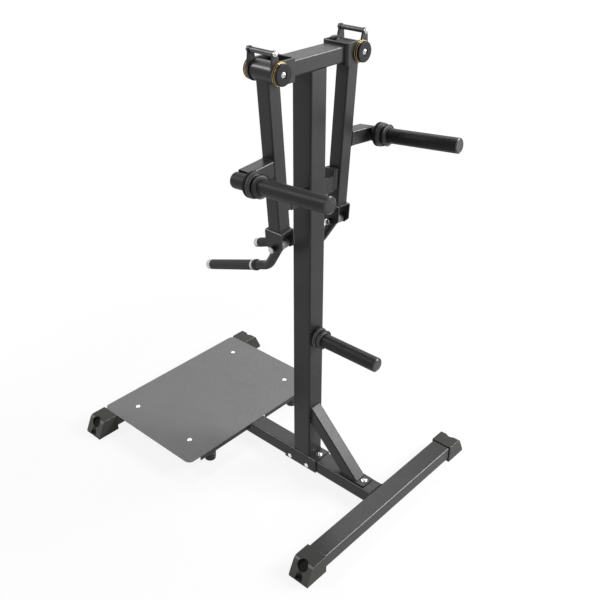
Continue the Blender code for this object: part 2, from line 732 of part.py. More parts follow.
def build_arm(arm, label, side, steel, rubber, bronze):
    tube_outline = rounded_rectangle(ARM_SIDE, ARM_SIDE, ARM_ROUND)
    name = "swing_arm_" + label
    tube = add_object(name, prism(tube_outline, -ARM_LENGTH, 0), move(), arm, side, steel)
    hub = add_guide(name + "_hub", cylinder(HUB_RADIUS, -HUB_HALF_WIDTH, HUB_HALF_WIDTH), ALONG_Y, arm, side)
    combine(tube, hub, "UNION")
    bore_radius = AXLE_RADIUS + BUSH_WALL + 2 * GAP
    bore = cylinder(bore_radius, -2 * HUB_HALF_WIDTH, 2 * HUB_HALF_WIDTH)
    combine(tube, add_guide(name + "_bore", bore, ALONG_Y, arm, side), "DIFFERENCE")
    room_side = ARM_SIDE - 2 * ARM_WALL
    room = prism(rounded_rectangle(room_side, room_side, ARM_ROUND - ARM_WALL), -2 * ARM_LENGTH, -HUB_RADIUS)
    combine(tube, add_guide(name + "_hollow", room, move(), arm, side), "DIFFERENCE")
    bush = ring(AXLE_RADIUS + GAP, AXLE_RADIUS + GAP + BUSH_WALL, -HUB_HALF_WIDTH, HUB_HALF_WIDTH)
    add_object("pivot_bush_" + label, bush, ALONG_Y, arm, side, bronze)
    build_horn(arm, label, side, steel, rubber)
    build_yoke(arm, label, side, steel)


def horn_place():
    """The horn's own axis: it rises and splays a little towards its end."""
    rise = Matrix.Rotation(math.radians(HORN_RISE_DEG), 4, "X")
    splay = Matrix.Rotation(math.radians(-HORN_SPLAY_DEG), 4, "Z")
    return move(HORN_OUT, 0, -HORN_DROP) @ splay @ rise @ ALONG_Y


def build_horn(arm, label, side, steel, rubber):
    start = ARM_SIDE / 2 + GAP
    name = "horn_bracket_" + label
    outline = rounded_rectangle(ARM_SIDE, ARM_SIDE, ARM_ROUND)
    place = move(z=-HORN_TUBE_DROP) @ ALONG_X
    bracket = add_object(name, prism(outline, start, HORN_TUBE_END), place, arm, side, steel)
    room_side = ARM_SIDE - 2 * ARM_WALL
    room = prism(
        rounded_rectangle(room_side, room_side, ARM_ROUND - ARM_WALL), 0, HORN_TUBE_END - HORN_TUBE_END_WALL)
    combine(bracket, add_guide(name + "_hollow", room, place, arm, side), "DIFFERENCE")
    cope = cylinder(HORN_RADIUS + GAP, -HORN_REACH, HORN_REACH)
    combine(bracket, add_guide(name + "_cope", cope, horn_place(), arm, side), "DIFFERENCE")
    horn = vented_rod(HORN_RADIUS, HORN_WALL, -HORN_TAIL, HORN_REACH)
    add_object("weight_horn_" + label, horn, horn_place(), arm, side, steel)
    collar = stepped_collar(HORN_RADIUS, COLLAR_RADIUS, COLLAR_START)
    add_object("horn_collar_" + label, collar, horn_place(), arm, side, rubber)


def build_yoke(arm, label, side, steel):
    """A bent plate under the arm; its two cheeks hold the handle's pin."""
    name = "handle_yoke_" + label
    strip = prism(
        channel_outline(YOKE_INSIDE, YOKE_PLATE, YOKE_BEND, 2 * YOKE_HEIGHT), -YOKE_DEPTH, YOKE_DEPTH)
    top = -ARM_LENGTH - GAP
    yoke = add_object(name, strip, move(z=top) @ HANG_YZ, arm, side, steel)
    half = YOKE_DEPTH / 2
    low = top - YOKE_HEIGHT
    outline = [(half - YOKE_CORNER, low), (half, low + YOKE_CORNER), (half, 0)]
    outline += [(-half, 0), (-half, low + YOKE_CORNER), (YOKE_CORNER - half, low)]
    cheek = prism(outline, -YOKE_INSIDE, YOKE_INSIDE)
    combine(yoke, add_guide(name + "_side_view", cheek, STAND_YZ, arm, side), "INTERSECT")
    hole = cylinder(PIN_RADIUS + GAP, -YOKE_INSIDE, YOKE_INSIDE, SMALL_SIDES)
    combine(yoke, add_guide(name + "_hole", hole, move(z=-HANDLE_DROP) @ ALONG_X, arm, side), "DIFFERENCE")


# Handles, placed from their own pin

def handle_path():
    """The bar's centre line in (y, z), with its bend as an arc."""
    leg = math.radians(LEG_DROP_DEG)
    bar = math.radians(BAR_DROP_DEG)
    corner = (-LEG_LENGTH * math.cos(leg), -LEG_LENGTH * math.sin(leg))
    trim = BEND_RADIUS * math.tan((leg - bar) / 2)
    entry = (corner[0] + trim * math.cos(leg), corner[1] + trim * math.sin(leg))
    center = (entry[0] - BEND_RADIUS * math.sin(leg), entry[1] + BEND_RADIUS * math.cos(leg))
    path = [(0.0, 0.0)]
    for step in range(BEND_STEPS + 1):
        turn = leg + (bar - leg) * step / BEND_STEPS
        path.append((center[0] + BEND_RADIUS * math.sin(turn), center[1] - BEND_RADIUS * math.cos(turn)))
    end = BAR_LENGTH - GRIP_END_LENGTH - GAP
    path.append((corner[0] - end * math.cos(bar), corner[1] - end * math.sin(bar)))
    return path


def bar_place(distance):
    """A place on the bar, that far past the corner, with Z along the bar."""
    leg = math.radians(LEG_DROP_DEG)
    bar = math.radians(BAR_DROP_DEG)
    y = -LEG_LENGTH * math.cos(leg) - distance * math.cos(bar)
    z = -LEG_LENGTH * math.sin(leg) - distance * math.sin(bar)
    return move(0, y, z) @ Matrix.Rotation(math.radians(90 + BAR_DROP_DEG), 4, "X")


def build_handle(handle, label, side, steel, rubber, chrome):
    name = "handle_bar_" + label
    pipe = swept_pipe(handle_path(), BAR_RADIUS, BAR_RADIUS - BAR_WALL, AXLE_SIDES)
    bar = add_object(name, pipe, move(), handle, side, steel)
    half_sleeve = YOKE_INSIDE / 2 - GAP
    sleeve = cylinder(SLEEVE_RADIUS, -half_sleeve, half_sleeve)
    combine(bar, add_guide(name + "_sleeve", sleeve, ALONG_X, handle, side), "UNION")
    pin_hole = cylinder(PIN_RADIUS + GAP, -YOKE_INSIDE, YOKE_INSIDE, SMALL_SIDES)
    combine(bar, add_guide(name + "_pin_hole", pin_hole, ALONG_X, handle, side), "DIFFERENCE")
    edge = BAR_COLLAR_ROUND
    core = BAR_RADIUS - BAR_WALL / 2
    collar_profile = [(core, 0), (BAR_COLLAR_RADIUS - edge, 0), (BAR_COLLAR_RADIUS, edge)]
    collar_profile += [(BAR_COLLAR_RADIUS, BAR_COLLAR_LENGTH - edge)]
    collar_profile += [(BAR_COLLAR_RADIUS - edge, BAR_COLLAR_LENGTH), (core, BAR_COLLAR_LENGTH)]
    collar = turned(collar_profile, ring=True)
    combine(bar, add_guide(name + "_collar", collar, bar_place(BAR_COLLAR_AT), handle, side), "UNION")

    grip_bore = BAR_RADIUS + GAP
    ring_start = BAR_COLLAR_AT + BAR_COLLAR_LENGTH + GAP
    grip_start = ring_start + GRIP_RING_LENGTH + GAP
    grip_length = BAR_LENGTH - GRIP_END_LENGTH - GAP - grip_start
    ring_solid = ring(grip_bore, GRIP_RING_RADIUS, 0, GRIP_RING_LENGTH)
    add_object("grip_ring_" + label, ring_solid, bar_place(ring_start), handle, side, chrome)
    grip_solid = ring(grip_bore, GRIP_RADIUS, 0, grip_length)
    add_object("hand_grip_" + label, grip_solid, bar_place(grip_start), handle, side, rubber)
    add_object("grip_end_" + label, grip_end_plug(), bar_place(BAR_LENGTH), handle, side, chrome)


def grip_end_plug():
    """A plated cap with a round edge, whose spigot fills the bar's end."""
    spigot = BAR_RADIUS - BAR_WALL - GAP
    seat = -GRIP_END_LENGTH
    inner = seat - GRIP_PLUG_DEPTH
    edge = GRIP_END_ROUND
    profile = [(0, inner), (spigot, inner), (spigot, seat), (GRIP_END_RADIUS, seat)]
    profile += arc((GRIP_END_RADIUS - edge, -edge), edge, 0, 90, CORNER_STEPS)
    return turned(profile + [(0, 0)], AXLE_SIDES)


def build_handle_pin(arm, label, side, chrome):
    """Pin through both cheeks, with a spacer and a domed end on each side."""
    cheek = YOKE_INSIDE / 2 + YOKE_PLATE + GAP
    spacer_end = cheek + PIN_SPACER_LENGTH
    tip = spacer_end + PIN_HEAD_HEIGHT
    half = [(PIN_RADIUS, cheek), (PIN_SPACER_RADIUS, cheek), (PIN_SPACER_RADIUS, spacer_end)]
    half += [(PIN_HEAD_RADIUS, spacer_end), (PIN_HEAD_RADIUS, spacer_end + PIN_HEAD_HEIGHT * DOME_SHOULDER)]
    half += [(PIN_HEAD_RADIUS * DOME_SHARE, tip), (0, tip)]
    other_half = [(radius, -height) for radius, height in reversed(half)]
    pin = turned(other_half + half, SMALL_SIDES)
    add_object("handle_pin_" + label, pin, move(z=-HANDLE_DROP) @ ALONG_X, arm, side, chrome)


# Rest brackets and bumpers on the column

def build_rest(root, label, side, steel, rubber):
    """A winged bracket whose flange and bumper lie along the arm's lean."""
    lean = Matrix.Rotation(math.radians(ARM_LEAN_DEG), 4, "Y")
    arm_frame = move(PIVOT_REACH, 0, PIVOT_HEIGHT) @ lean
    pad_outer = -ARM_SIDE / 2 - GAP
    pad_inner = pad_outer - REST_PAD_THICKNESS
    flange_outer = pad_inner - GAP
    flange_inner = flange_outer - REST_FLANGE_PLATE
    top = REST_HEIGHT + REST_FLANGE_RISE - PIVOT_HEIGHT
    low = top - REST_FLANGE_HEIGHT

    name = "rest_bracket_" + label
    column_side = COLUMN_WIDTH / 2 + GAP
    wing_low = REST_HEIGHT - REST_WING_HEIGHT
    wing_tip = PIVOT_REACH + flange_outer - math.tan(math.radians(ARM_LEAN_DEG)) * (PIVOT_HEIGHT - wing_low)
    wing = [(column_side, wing_low), (wing_tip, wing_low), (wing_tip, REST_HEIGHT), (column_side, REST_HEIGHT)]
    wing_y = REST_FLANGE_Y + REST_FLANGE_WIDTH / 2 - REST_EDGE_ROUND - REST_WING_PLATE / 2
    solid = prism(wing, -REST_WING_PLATE / 2, REST_WING_PLATE / 2)
    bracket = add_object(name, solid, move(y=wing_y) @ STAND_XZ, root, side, steel)
    flange = prism(rounded_rectangle(REST_FLANGE_PLATE, REST_FLANGE_WIDTH, REST_EDGE_ROUND), low, top)
    flange_place = arm_frame @ move((flange_inner + flange_outer) / 2, REST_FLANGE_Y)
    combine(bracket, add_guide(name + "_flange", flange, flange_place, root, side), "UNION")

    pad_outline = rounded_rectangle(REST_PAD_THICKNESS, REST_FLANGE_WIDTH, REST_PAD_ROUND)
    pad_place = arm_frame @ move((pad_inner + pad_outer) / 2, REST_FLANGE_Y)
    add_object("rest_bumper_" + label, prism(pad_outline, low, top), pad_place, root, side, rubber)


# Platform

def build_platform(root, tread, steel, rubber):
    low = BASE_TOP + GAP
    high = low + PLATE_THICKNESS
    length = PLATE_REAR - PLATE_FRONT
    outline = rounded_rectangle(2 * PLATE_HALF_WIDTH, length, PLATE_CORNER, ARC_STEPS // 2)
    middle = move(y=(PLATE_REAR + PLATE_FRONT) / 2)
    plate = add_object("platform_plate", prism(outline, low, high), middle, root, 1, tread)
    lip_start = BEAM_WIDTH / 2 + LIP_BEAM_MARGIN
    for label, side in SIDES:
        lip = [(lip_start, low - LIP_HEIGHT), (LIP_REACH, low - LIP_HEIGHT), (LIP_REACH, high), (lip_start, high)]
        solid = prism(lip, -PLATE_THICKNESS / 2, PLATE_THICKNESS / 2)
        place = move(y=PLATE_REAR - PLATE_THICKNESS / 2) @ STAND_XZ
        combine(plate, add_guide("platform_lip_" + label, solid, place, root, side), "UNION")
        for end, y in (("front", PLATE_BOLT_FRONT_Y), ("rear", PLATE_BOLT_REAR_Y)):
            hole = cylinder(PLATE_BOLT_HOLE, 0, 2 * high, SMALL_SIDES)
            guide = add_guide(f"platform_hole_{end}_{label}", hole, move(PLATE_BOLT_X, y, 0), root, side)
            combine(plate, guide, "DIFFERENCE")
        build_rail(root, label, side, steel, rubber)


def build_rail(root, label, side, steel, rubber):
    """A flat tube under the plate, welded to the front foot, on one pad foot."""
    front = FRONT_FOOT_Y + FOOT_HALF_DEPTH + GAP
    rear = PLATE_REAR - PLATE_THICKNESS - RAIL_LIP_CLEARANCE
    center = BASE_TOP - RAIL_HEIGHT / 2
    tube = box_tube(RAIL_WIDTH, RAIL_HEIGHT, RAIL_ROUND, RAIL_WALL, front, rear)
    rail = add_object("platform_rail_" + label, tube, move(RAIL_X, 0, center) @ ALONG_Y, root, side, steel)
    for end, y in (("front", PLATE_BOLT_FRONT_Y), ("rear", PLATE_BOLT_REAR_Y)):
        hole = cylinder(PLATE_BOLT_HOLE, center, 2 * BASE_TOP, SMALL_SIDES)
        guide = add_guide(f"rail_hole_{end}_{label}", hole, move(PLATE_BOLT_X, y, 0), root, side)
        combine(rail, guide, "DIFFERENCE")
    height = BASE_TOP - RAIL_HEIGHT - GAP
    edge = PAD_FOOT_EDGE
    profile = [(0, 0), (PAD_FOOT_BASE_RADIUS - edge, 0), (PAD_FOOT_BASE_RADIUS, edge)]
    profile += [(PAD_FOOT_RADIUS, height - edge), (PAD_FOOT_RADIUS - edge, height), (0, height)]
    place = move(PAD_FOOT_X, PAD_FOOT_Y, 0)
    add_object("platform_foot_" + label, turned(profile), place, root, side, rubber)


def build_machine():
    steel = make_material("black_powder_coat", (0.045, 0.045, 0.047), 0.45, 0.3)
    tread = make_material("tread_plate", (0.12, 0.12, 0.12), 0.6, 0.3)
    rubber = make_material("black_rubber", (0.02, 0.02, 0.02), 0.75, 0.0)
    plastic = make_material("black_plastic", (0.025, 0.025, 0.025), 0.5, 0.0)
    chrome = make_material("zinc_plate", (0.75, 0.75, 0.76), 0.2, 1.0)
    brass = make_material("brass", (0.72, 0.52, 0.22), 0.3, 1.0)
    bronze = make_material("bronze", (0.5, 0.33, 0.16), 0.4, 1.0)

    root = add_empty("machine", move(y=MACHINE_SHIFT), None)
    build_base(root, steel)
    build_end_caps(root, rubber)
    build_column(root, steel)
    build_saddle(root, steel, chrome)
    build_brace(root, steel)
    build_storage_peg(root, steel, rubber)
    build_platform(root, tread, steel, rubber)
    lean = Matrix.Rotation(math.radians(ARM_LEAN_DEG), 4, "Y")
    for label, side in SIDES:
        build_pivot(root, label, side, steel, brass, plastic, chrome)
        build_rest(root, label, side, steel, rubber)
        arm_place = move(PIVOT_REACH, 0, PIVOT_HEIGHT) @ lean
        arm = add_empty("arm_pivot_" + label, arm_place, root, side)
        build_arm(arm, label, side, steel, rubber, bronze)
        build_handle_pin(arm, label, side, chrome)
        handle = add_empty("handle_pivot_" + label, move(z=-HANDLE_DROP), arm, side)
        build_handle(handle, label, side, steel, rubber, chrome)


clear_scene()
build_machine()
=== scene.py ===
"""Standing lateral raise machine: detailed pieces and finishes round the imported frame."""

import math

import bmesh
import bpy
from mathutils import Matrix, Vector


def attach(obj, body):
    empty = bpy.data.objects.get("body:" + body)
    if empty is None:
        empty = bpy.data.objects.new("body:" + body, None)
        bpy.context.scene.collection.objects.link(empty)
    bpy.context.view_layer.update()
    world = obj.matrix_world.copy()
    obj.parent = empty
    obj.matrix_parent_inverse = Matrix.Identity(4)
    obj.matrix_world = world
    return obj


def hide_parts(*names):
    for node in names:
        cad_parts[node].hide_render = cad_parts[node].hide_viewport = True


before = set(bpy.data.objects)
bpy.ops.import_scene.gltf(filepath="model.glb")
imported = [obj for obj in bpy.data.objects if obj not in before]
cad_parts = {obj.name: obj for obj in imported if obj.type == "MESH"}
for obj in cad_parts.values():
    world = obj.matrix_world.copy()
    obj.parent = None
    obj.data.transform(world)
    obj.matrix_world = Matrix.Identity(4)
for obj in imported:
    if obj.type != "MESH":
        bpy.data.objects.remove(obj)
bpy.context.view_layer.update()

# Shared fits and edges, in metres
GAP = 0.0003
SIDE_PLAY = 0.001
TUBE_WALL = 0.003
PLATE_EDGE = 0.0006
SHEET_EDGE = 0.0004

# Smoothness of round forms
FINE_SIDES = 96
ROUND_SIDES = 72
SMALL_SIDES = 40
CORNER_STEPS = 8
SHARP_DEG = 38
MERGE_DISTANCE = 0.000005

# Machine's place: the column's centre line in the row frame
SHIFT_Y = 0.19195

# Cross feet, main beam and end caps
BASE_CLEARANCE = 0.0137
BASE_DEPTH = 0.074
BASE_HEIGHT = 0.053
BASE_ROUND = 0.006
BEAM_WIDTH = 0.071
REAR_Y = 0.3667
FRONT_Y = -0.748
FOOT_REACH = 0.4152
CAP_COVER = 0.004
CAP_MOUTH = 0.3652
CAP_TIP = 0.4602
CAP_TOE_ROUND = 0.0015
CAP_HEEL = 0.010
CAP_HEEL_ROUND = 0.0030
CAP_SLOPE_RUN = 0.029
CAP_SHOULDER = 0.017
CAP_EDGE = 0.0058
CAP_RIM = 0.0018
CAP_SCREW_LIFT = 0.011
WELL_RADIUS = 0.0218
WELL_X = 0.4350
WELL_Z = 0.0556
WELL_TILT_DEG = 45
WELL_DEPTH = 0.008
WELL_FLOOR_LOW = -WELL_DEPTH - 0.0005
WELL_FLOOR_HIGH = -WELL_DEPTH + 0.0015
CHANNEL_HALF = 0.0145
CHANNEL_BACK = 0.4465
CHANNEL_FLOOR = 0.008
BASE_TOP = BASE_CLEARANCE + BASE_HEIGHT
BASE_MIDDLE = BASE_CLEARANCE + BASE_HEIGHT / 2
BEAM_FRONT = FRONT_Y + BASE_DEPTH / 2 + GAP
BEAM_REAR = REAR_Y - BASE_DEPTH / 2 - GAP
CAP_HALF = BASE_DEPTH / 2 + GAP + CAP_COVER
CAP_HEIGHT = BASE_TOP + GAP + CAP_COVER

# Column, crossbar and saddle
COLUMN_WIDTH = 0.072
COLUMN_DEPTH = 0.078
COLUMN_ROUND = 0.006
PIVOT_HEIGHT = 1.543
CROSSBAR_HEIGHT = 0.0495
CROSSBAR_DEPTH = 0.075
CROSSBAR_REACH = 0.112
SADDLE_PLATE = 0.004
SADDLE_BEND = 0.006
SADDLE_REAR = 0.075
SADDLE_TOP_FRONT = -0.031
SADDLE_TOE_FRONT = -0.084
SADDLE_BOLT_HOLE = 0.003
SADDLE_WASHER_RADIUS = 0.0092
SADDLE_WASHER_THICKNESS = 0.0012
SADDLE_BOLT_RADIUS = 0.0072
SADDLE_BOLT_HEIGHT = 0.006
SADDLE_BOLT_LIFT = 0.0125
SADDLE_BOLT_PLACES = (("front", -0.055), ("rear", 0.030))
SADDLE_TOP = BASE_TOP + GAP + SADDLE_PLATE
SADDLE_SCREW_Y = 0.060

# Brace and storage peg
BRACE_SIDE = 0.050
BRACE_ROUND = 0.005
BRACE_RISE = 0.2257
BRACE_FOOT_THICKNESS = 0.0055
BRACE_FOOT_WIDTH = 0.0566
BRACE_FOOT_FRONT = 0.184
BRACE_FOOT_REAR = 0.293
BRACE_SCREW_Y = 0.276
PEG_HEIGHT = 0.592
PEG_LENGTH = 0.267
PEG_EDGE = 0.0005
PEG_COLLAR_RADIUS = 0.038
PEG_COLLAR_LENGTH = 0.0325

# Pivots
PIVOT_REACH = 0.181
BRACKET_PLATE = 0.007
BRACKET_BEND = 0.012
BRACKET_INSIDE = 0.086
BRACKET_EDGE = 0.0009
EAR_RADIUS = 0.034
LUG_RADIUS = 0.00997
LUG_SHOULDER = 0.002
STOP_ROD_OUT = 0.019
STOP_ROD_UP = 0.058
STOP_ROD_RADIUS = 0.008
STOP_ROD_HEAD_RADIUS = 0.0094
STOP_ROD_HEAD_HEIGHT = 0.0067
STOP_NUT_RADIUS = 0.0096
AXLE_RADIUS = 0.0125
BUSH_WALL = 0.003
RING_THICKNESS = 0.0074
RING_RADIUS = 0.034
FLANGE_RIM = 0.0013
FLANGE_STEP = 0.0008
FLANGE_EDGE = 0.0006
GROOVE_DISC_RADIUS = 0.0314
AXLE_CAP_THICKNESS = 0.008
AXLE_CAP_RADIUS = 0.032
AXLE_CAP_RECESS = 0.005
AXLE_SCREW_HEAD = 0.010
AXLE_SCREW_SHANK = 0.006
BRACKET_HALF = BRACKET_INSIDE / 2 + BRACKET_PLATE
RING_OUTER_Y = BRACKET_HALF + GAP + RING_THICKNESS
RING_BORE = AXLE_RADIUS + GAP
RING_BOSS = RING_BORE + 0.004
CAP_INNER_Y = RING_OUTER_Y + GAP
CAP_OUTER_Y = CAP_INNER_Y + AXLE_CAP_THICKNESS
CAP_SEAT_Y = CAP_OUTER_Y - AXLE_CAP_RECESS
HUB_HALF = BRACKET_INSIDE / 2 - SIDE_PLAY

# Arms, horns and yokes
ARM_LEAN_DEG = 4.63
ARM_LENGTH = 0.500
ARM_SIDE = 0.050
ARM_ROUND = 0.005
HUB_RADIUS = 0.030
HORN_DROP = 0.286
HORN_OUT = 0.1382
HORN_RADIUS = 0.025
HORN_TAIL = 0.027
HORN_TAIL_ROUND = 0.0060
HORN_REACH = 0.3510
HORN_RISE_DEG = 5.2
HORN_SPLAY_DEG = 2.2
HORN_TUBE_DROP = 0.2833
HORN_TUBE_END = 0.1245
PLUG_BEVEL = 0.0030
PLUG_SEAM_INSET = 0.0052
PLUG_GROOVE = 0.0006
COLLAR_START = 0.045
COLLAR_RADIUS = 0.040
COLLAR_LENGTH = 0.0400
COLLAR_BACK_SHARE = 0.25
COLLAR_GROOVE_SHARE = 0.54
COLLAR_SLANT = 0.0030
COLLAR_RIM = 0.0016
COLLAR_DROP = 0.0038
COLLAR_LIP = 0.0050
YOKE_PLATE = 0.005
YOKE_BEND = 0.008
YOKE_INSIDE = 0.050
YOKE_DEPTH = 0.070
YOKE_HEIGHT = 0.072
YOKE_CORNER = 0.016
YOKE_CORNER_ROUND = 0.003
YOKE_EDGE = 0.0008
HANDLE_DROP = 0.560
PIN_RADIUS = 0.006
PIN_SPACER_RADIUS = 0.010
PIN_SPACER_LENGTH = 0.0137
PIN_WASHER_THICKNESS = 0.0014
PIN_HEAD_RADIUS = 0.009
PIN_HEAD_HEIGHT = 0.004

# Handles
SLEEVE_RADIUS = 0.0175
SLEEVE_WELD_RADIUS = 0.0015
BAR_RADIUS = 0.0155
LEG_LENGTH = 0.1134
LEG_DROP_DEG = 58.0
BAR_LENGTH = 0.3254
BAR_DROP_DEG = 19.4
BEND_RADIUS = 0.060
BEND_STEPS = 14
BAR_COLLAR_AT = 0.056
BAR_COLLAR_LENGTH = 0.016
BAR_COLLAR_RADIUS = 0.0195
GRIP_RING_LENGTH = 0.009
GRIP_RING_RADIUS = 0.0185
GRIP_RADIUS = 0.0175
GRIP_END_LENGTH = 0.021
GRIP_END_ROUND = 0.006

# Rest brackets and bumpers
REST_HEIGHT = 1.152
REST_WING_HEIGHT = 0.054
REST_PLATE = 0.006
REST_FLANGE_WIDTH = 0.044
REST_FLANGE_Y = -0.003
REST_EDGE_ROUND = 0.001
REST_FLANGE_RISE = 0.016
REST_FLANGE_HEIGHT = 0.070
REST_PAD_THICKNESS = 0.017
REST_PAD_ROUND = 0.003
REST_PAD_EDGE = 0.0014
REST_WELD_INSET = 0.002

# Platform
PLATE_HALF_WIDTH = 0.3646
PLATE_FRONT = -0.7919
PLATE_REAR = -0.2675
PLATE_THICKNESS = 0.002
PLATE_CORNER = 0.025
LIP_HEIGHT = 0.0175
LIP_REACH = 0.308
LIP_START = 0.0415
RAIL_X = 0.254
RAIL_WIDTH = 0.060
RAIL_HEIGHT = 0.017
RAIL_ROUND = 0.003
RAIL_WALL = 0.002
RAIL_LIP_CLEARANCE = 0.004
PAD_FOOT_RADIUS = 0.0235
PAD_FOOT_BASE_RADIUS = 0.0215
PAD_FOOT_X = 0.2335
PAD_FOOT_Y = -0.299
PLATE_BOLT_X = 0.270
PLATE_BOLT_PLACES = (-0.691, -0.3736)
PLATE_BOLT_RADIUS = 0.0094
PLATE_BOLT_HEIGHT = 0.0042
PLATE_TOP = BASE_TOP + GAP + PLATE_THICKNESS
STUD_PITCH = 0.0075
STUD_MARGIN = 0.006
STUD_BOLT_ROOM = 0.0125

# Socket screws: radius and height of the head, radius and depth of the key's hole
CAP_SCREW = (0.0055, 0.0030, 0.0024, 0.0018)
FRAME_SCREW = (0.0088, 0.0062, 0.0042, 0.0032)
AXLE_SCREW = (AXLE_SCREW_HEAD, 0.0067, 0.0038, 0.0030)
FRAME_WASHER_HOLE = 0.004
FRAME_WASHER_RADIUS = 0.0115
FRAME_WASHER_THICKNESS = 0.0018

# Weld beads
WELD_RADIUS = 0.0019
WELD_PITCH = 0.0030
WELD_SWELL = 0.30

# Painted highlight on rounds that face up, under a smoother coat: where a surface counts as flat, where it
# counts as facing up, share of the lighter colour and gloss
ROUNDS_FLAT = (0.80, 0.97)
ROUNDS_UP = (0.1, 0.4)
ROUNDS_HIGHLIGHT_SHARE = 0.8
ROUNDS_ROUGHNESS = 0.32

# Places
STAND_XZ = Matrix.Rotation(math.radians(90), 4, "X")
STAND_YZ = Matrix(((0, 0, 1, 0), (1, 0, 0, 0), (0, 1, 0, 0), (0, 0, 0, 1)))
HANG_YZ = Matrix(((0, -1, 0, 0), (0, 0, 1, 0), (-1, 0, 0, 0), (0, 0, 0, 1)))
ALONG_X = Matrix.Rotation(math.radians(90), 4, "Y")
ALONG_Y = Matrix.Rotation(math.radians(-90), 4, "X")
MIRROR = Matrix.Scale(-1, 4, Vector((1, 0, 0)))
SIDES = (("right", 1), ("left", -1))
FEET = (("rear", REAR_Y), ("front", FRONT_Y))


def move(x=0.0, y=0.0, z=0.0):
    return Matrix.Translation((x, y, z))


def turn(degrees, axis):
    return Matrix.Rotation(math.radians(degrees), 4, axis)


ROOT = move(y=SHIFT_Y)
CROSSBAR_PLACE = ROOT @ move(z=PIVOT_HEIGHT) @ ALONG_X
AXLE_PLACE = ROOT @ move(PIVOT_REACH, 0, PIVOT_HEIGHT)
ARM_PLACE = AXLE_PLACE @ turn(ARM_LEAN_DEG, "Y")
HANDLE_PLACE = ARM_PLACE @ move(z=-HANDLE_DROP)
HORN_AIM = turn(-HORN_SPLAY_DEG, "Z") @ turn(HORN_RISE_DEG, "X") @ ALONG_Y
HORN_PLACE = ARM_PLACE @ move(HORN_OUT, 0, -HORN_DROP) @ HORN_AIM


# Node sheets, shared by finishes and repeated shapes

def operation(name, swapped=False):
    """A method of Wire that adds one Math node for the wire and a value."""
    def apply(self, value):
        return self.calculate(name, value, self) if swapped else self.calculate(name, self, value)
    return apply


class Wire:
    """An output in a node sheet that takes part in plain arithmetic."""

    def __init__(self, sheet, socket):
        self.sheet = sheet
        self.socket = socket

    def other(self, name):
        return Wire(self.sheet, self.socket.node.outputs[name])

    def calculate(self, name, *values):
        return self.sheet.node("ShaderNodeMath", dict(enumerate(values)), operation=name)

    __add__ = __radd__ = operation("ADD")
    __mul__ = __rmul__ = operation("MULTIPLY")
    __sub__ = operation("SUBTRACT")
    __rsub__ = operation("SUBTRACT", swapped=True)
    __truediv__ = operation("DIVIDE")
    __pow__ = operation("POWER")
    most = operation("MAXIMUM")

    def sine(self):
        return self.calculate("SINE", self)

    def size(self):
        return self.calculate("ABSOLUTE", self)

    def step(self, low, high):
        """0 below low, 1 above high and a soft rise between them."""
        return self.sheet.node(
            "ShaderNodeMapRange", {0: self, 1: low, 2: high, 3: 0.0, 4: 1.0}, interpolation_type="SMOOTHSTEP")


class Sheet:
    """A node tree that is filled one node at a time."""

    def __init__(self, tree):
        self.tree = tree

    def node(self, kind, inputs=None, output=0, **settings):
        """A new node with its settings, then the values or wires of its sockets."""
        made = self.tree.nodes.new(kind)
        for name, value in settings.items():
            setattr(made, name, value)
        for name, value in (inputs or {}).items():
            self.feed(made.inputs[name], value)
        return Wire(self, made.outputs[output]) if made.outputs else None

    def feed(self, socket, value):
        if isinstance(value, Wire):
            self.tree.links.new(value.socket, socket)
        else:
            socket.default_value = value


class Finish(Sheet):
    """A material whose detail is laid out in the object's own coordinates."""

    def __init__(self, name, slot, color, roughness, metallic=0.0, specular=0.5):
        self.material = bpy.data.materials.new(name)
        self.material.use_nodes = True
        super().__init__(self.material.node_tree)
        self.slot = slot
        self.color = (*color, 1.0)
        self.material.diffuse_color = self.color
        self.shader = self.tree.nodes["Principled BSDF"]
        self.set("Base Color", self.color)
        self.set("Roughness", roughness)
        self.set("Metallic", metallic)
        self.set("Specular IOR Level", specular)
        self.place = self.node("ShaderNodeTexCoord").other("Object")

    def set(self, name, value):
        self.feed(self.shader.inputs[name], value)

    def noise(self, size, detail=2.0, squeeze=None):
        """Noise between 0 and 1, whose blotches are about that big and run along Y when squeezed."""
        place = self.place
        if squeeze:
            place = self.node("ShaderNodeMapping", {"Vector": place, "Scale": (1.0, squeeze, 1.0)})
        return self.node("ShaderNodeTexNoise", {"Vector": place, "Scale": 1 / size, "Detail": detail})

    def cells(self, size):
        return self.node("ShaderNodeTexVoronoi", {"Vector": self.place, "Scale": 1 / size})

    def mix(self, amount, first, second):
        return self.node("ShaderNodeMix", {0: amount, 6: first, 7: second}, output=2, data_type="RGBA")

    def shade(self, amount, share):
        """The finish's own colour, darker or lighter where amount says so."""
        dark, light = ([min(1.0, channel * level) for channel in self.color[:3]] + [1.0]
                       for level in (1 - share, 1 + share))
        return self.mix(amount, dark, light)

    def paint_highlight_on_rounds(self, color, light, weight):
        """The colour with a painted highlight on the rounds between flat sides that face up, which also get a
        smoother coat.
        """
        normal = self.node("ShaderNodeTexCoord").other("Normal")
        parts = self.node("ShaderNodeSeparateXYZ", {0: normal})
        up = parts.other("Z")
        flattest = parts.size().most(parts.other("Y").size()).most(up.size())
        rounds = (1.0 - flattest.step(*ROUNDS_FLAT)) * up.step(*ROUNDS_UP)
        self.set("Coat Roughness", ROUNDS_ROUGHNESS)
        self.set("Coat Weight", weight * rounds)
        # Painted highlight: the base colour goes towards the lighter colour on the upward rounds.
        return self.mix(ROUNDS_HIGHLIGHT_SHARE * rounds, color, (*light, 1.0))

    def bump(self, height, depth, **others):
        return self.node("ShaderNodeBump", {"Height": height, "Distance": depth, **others})

    def dress(self, color, roughness, normal):
        self.set("Base Color", color)
        self.set("Roughness", roughness)
        self.set("Normal", normal)
        return self


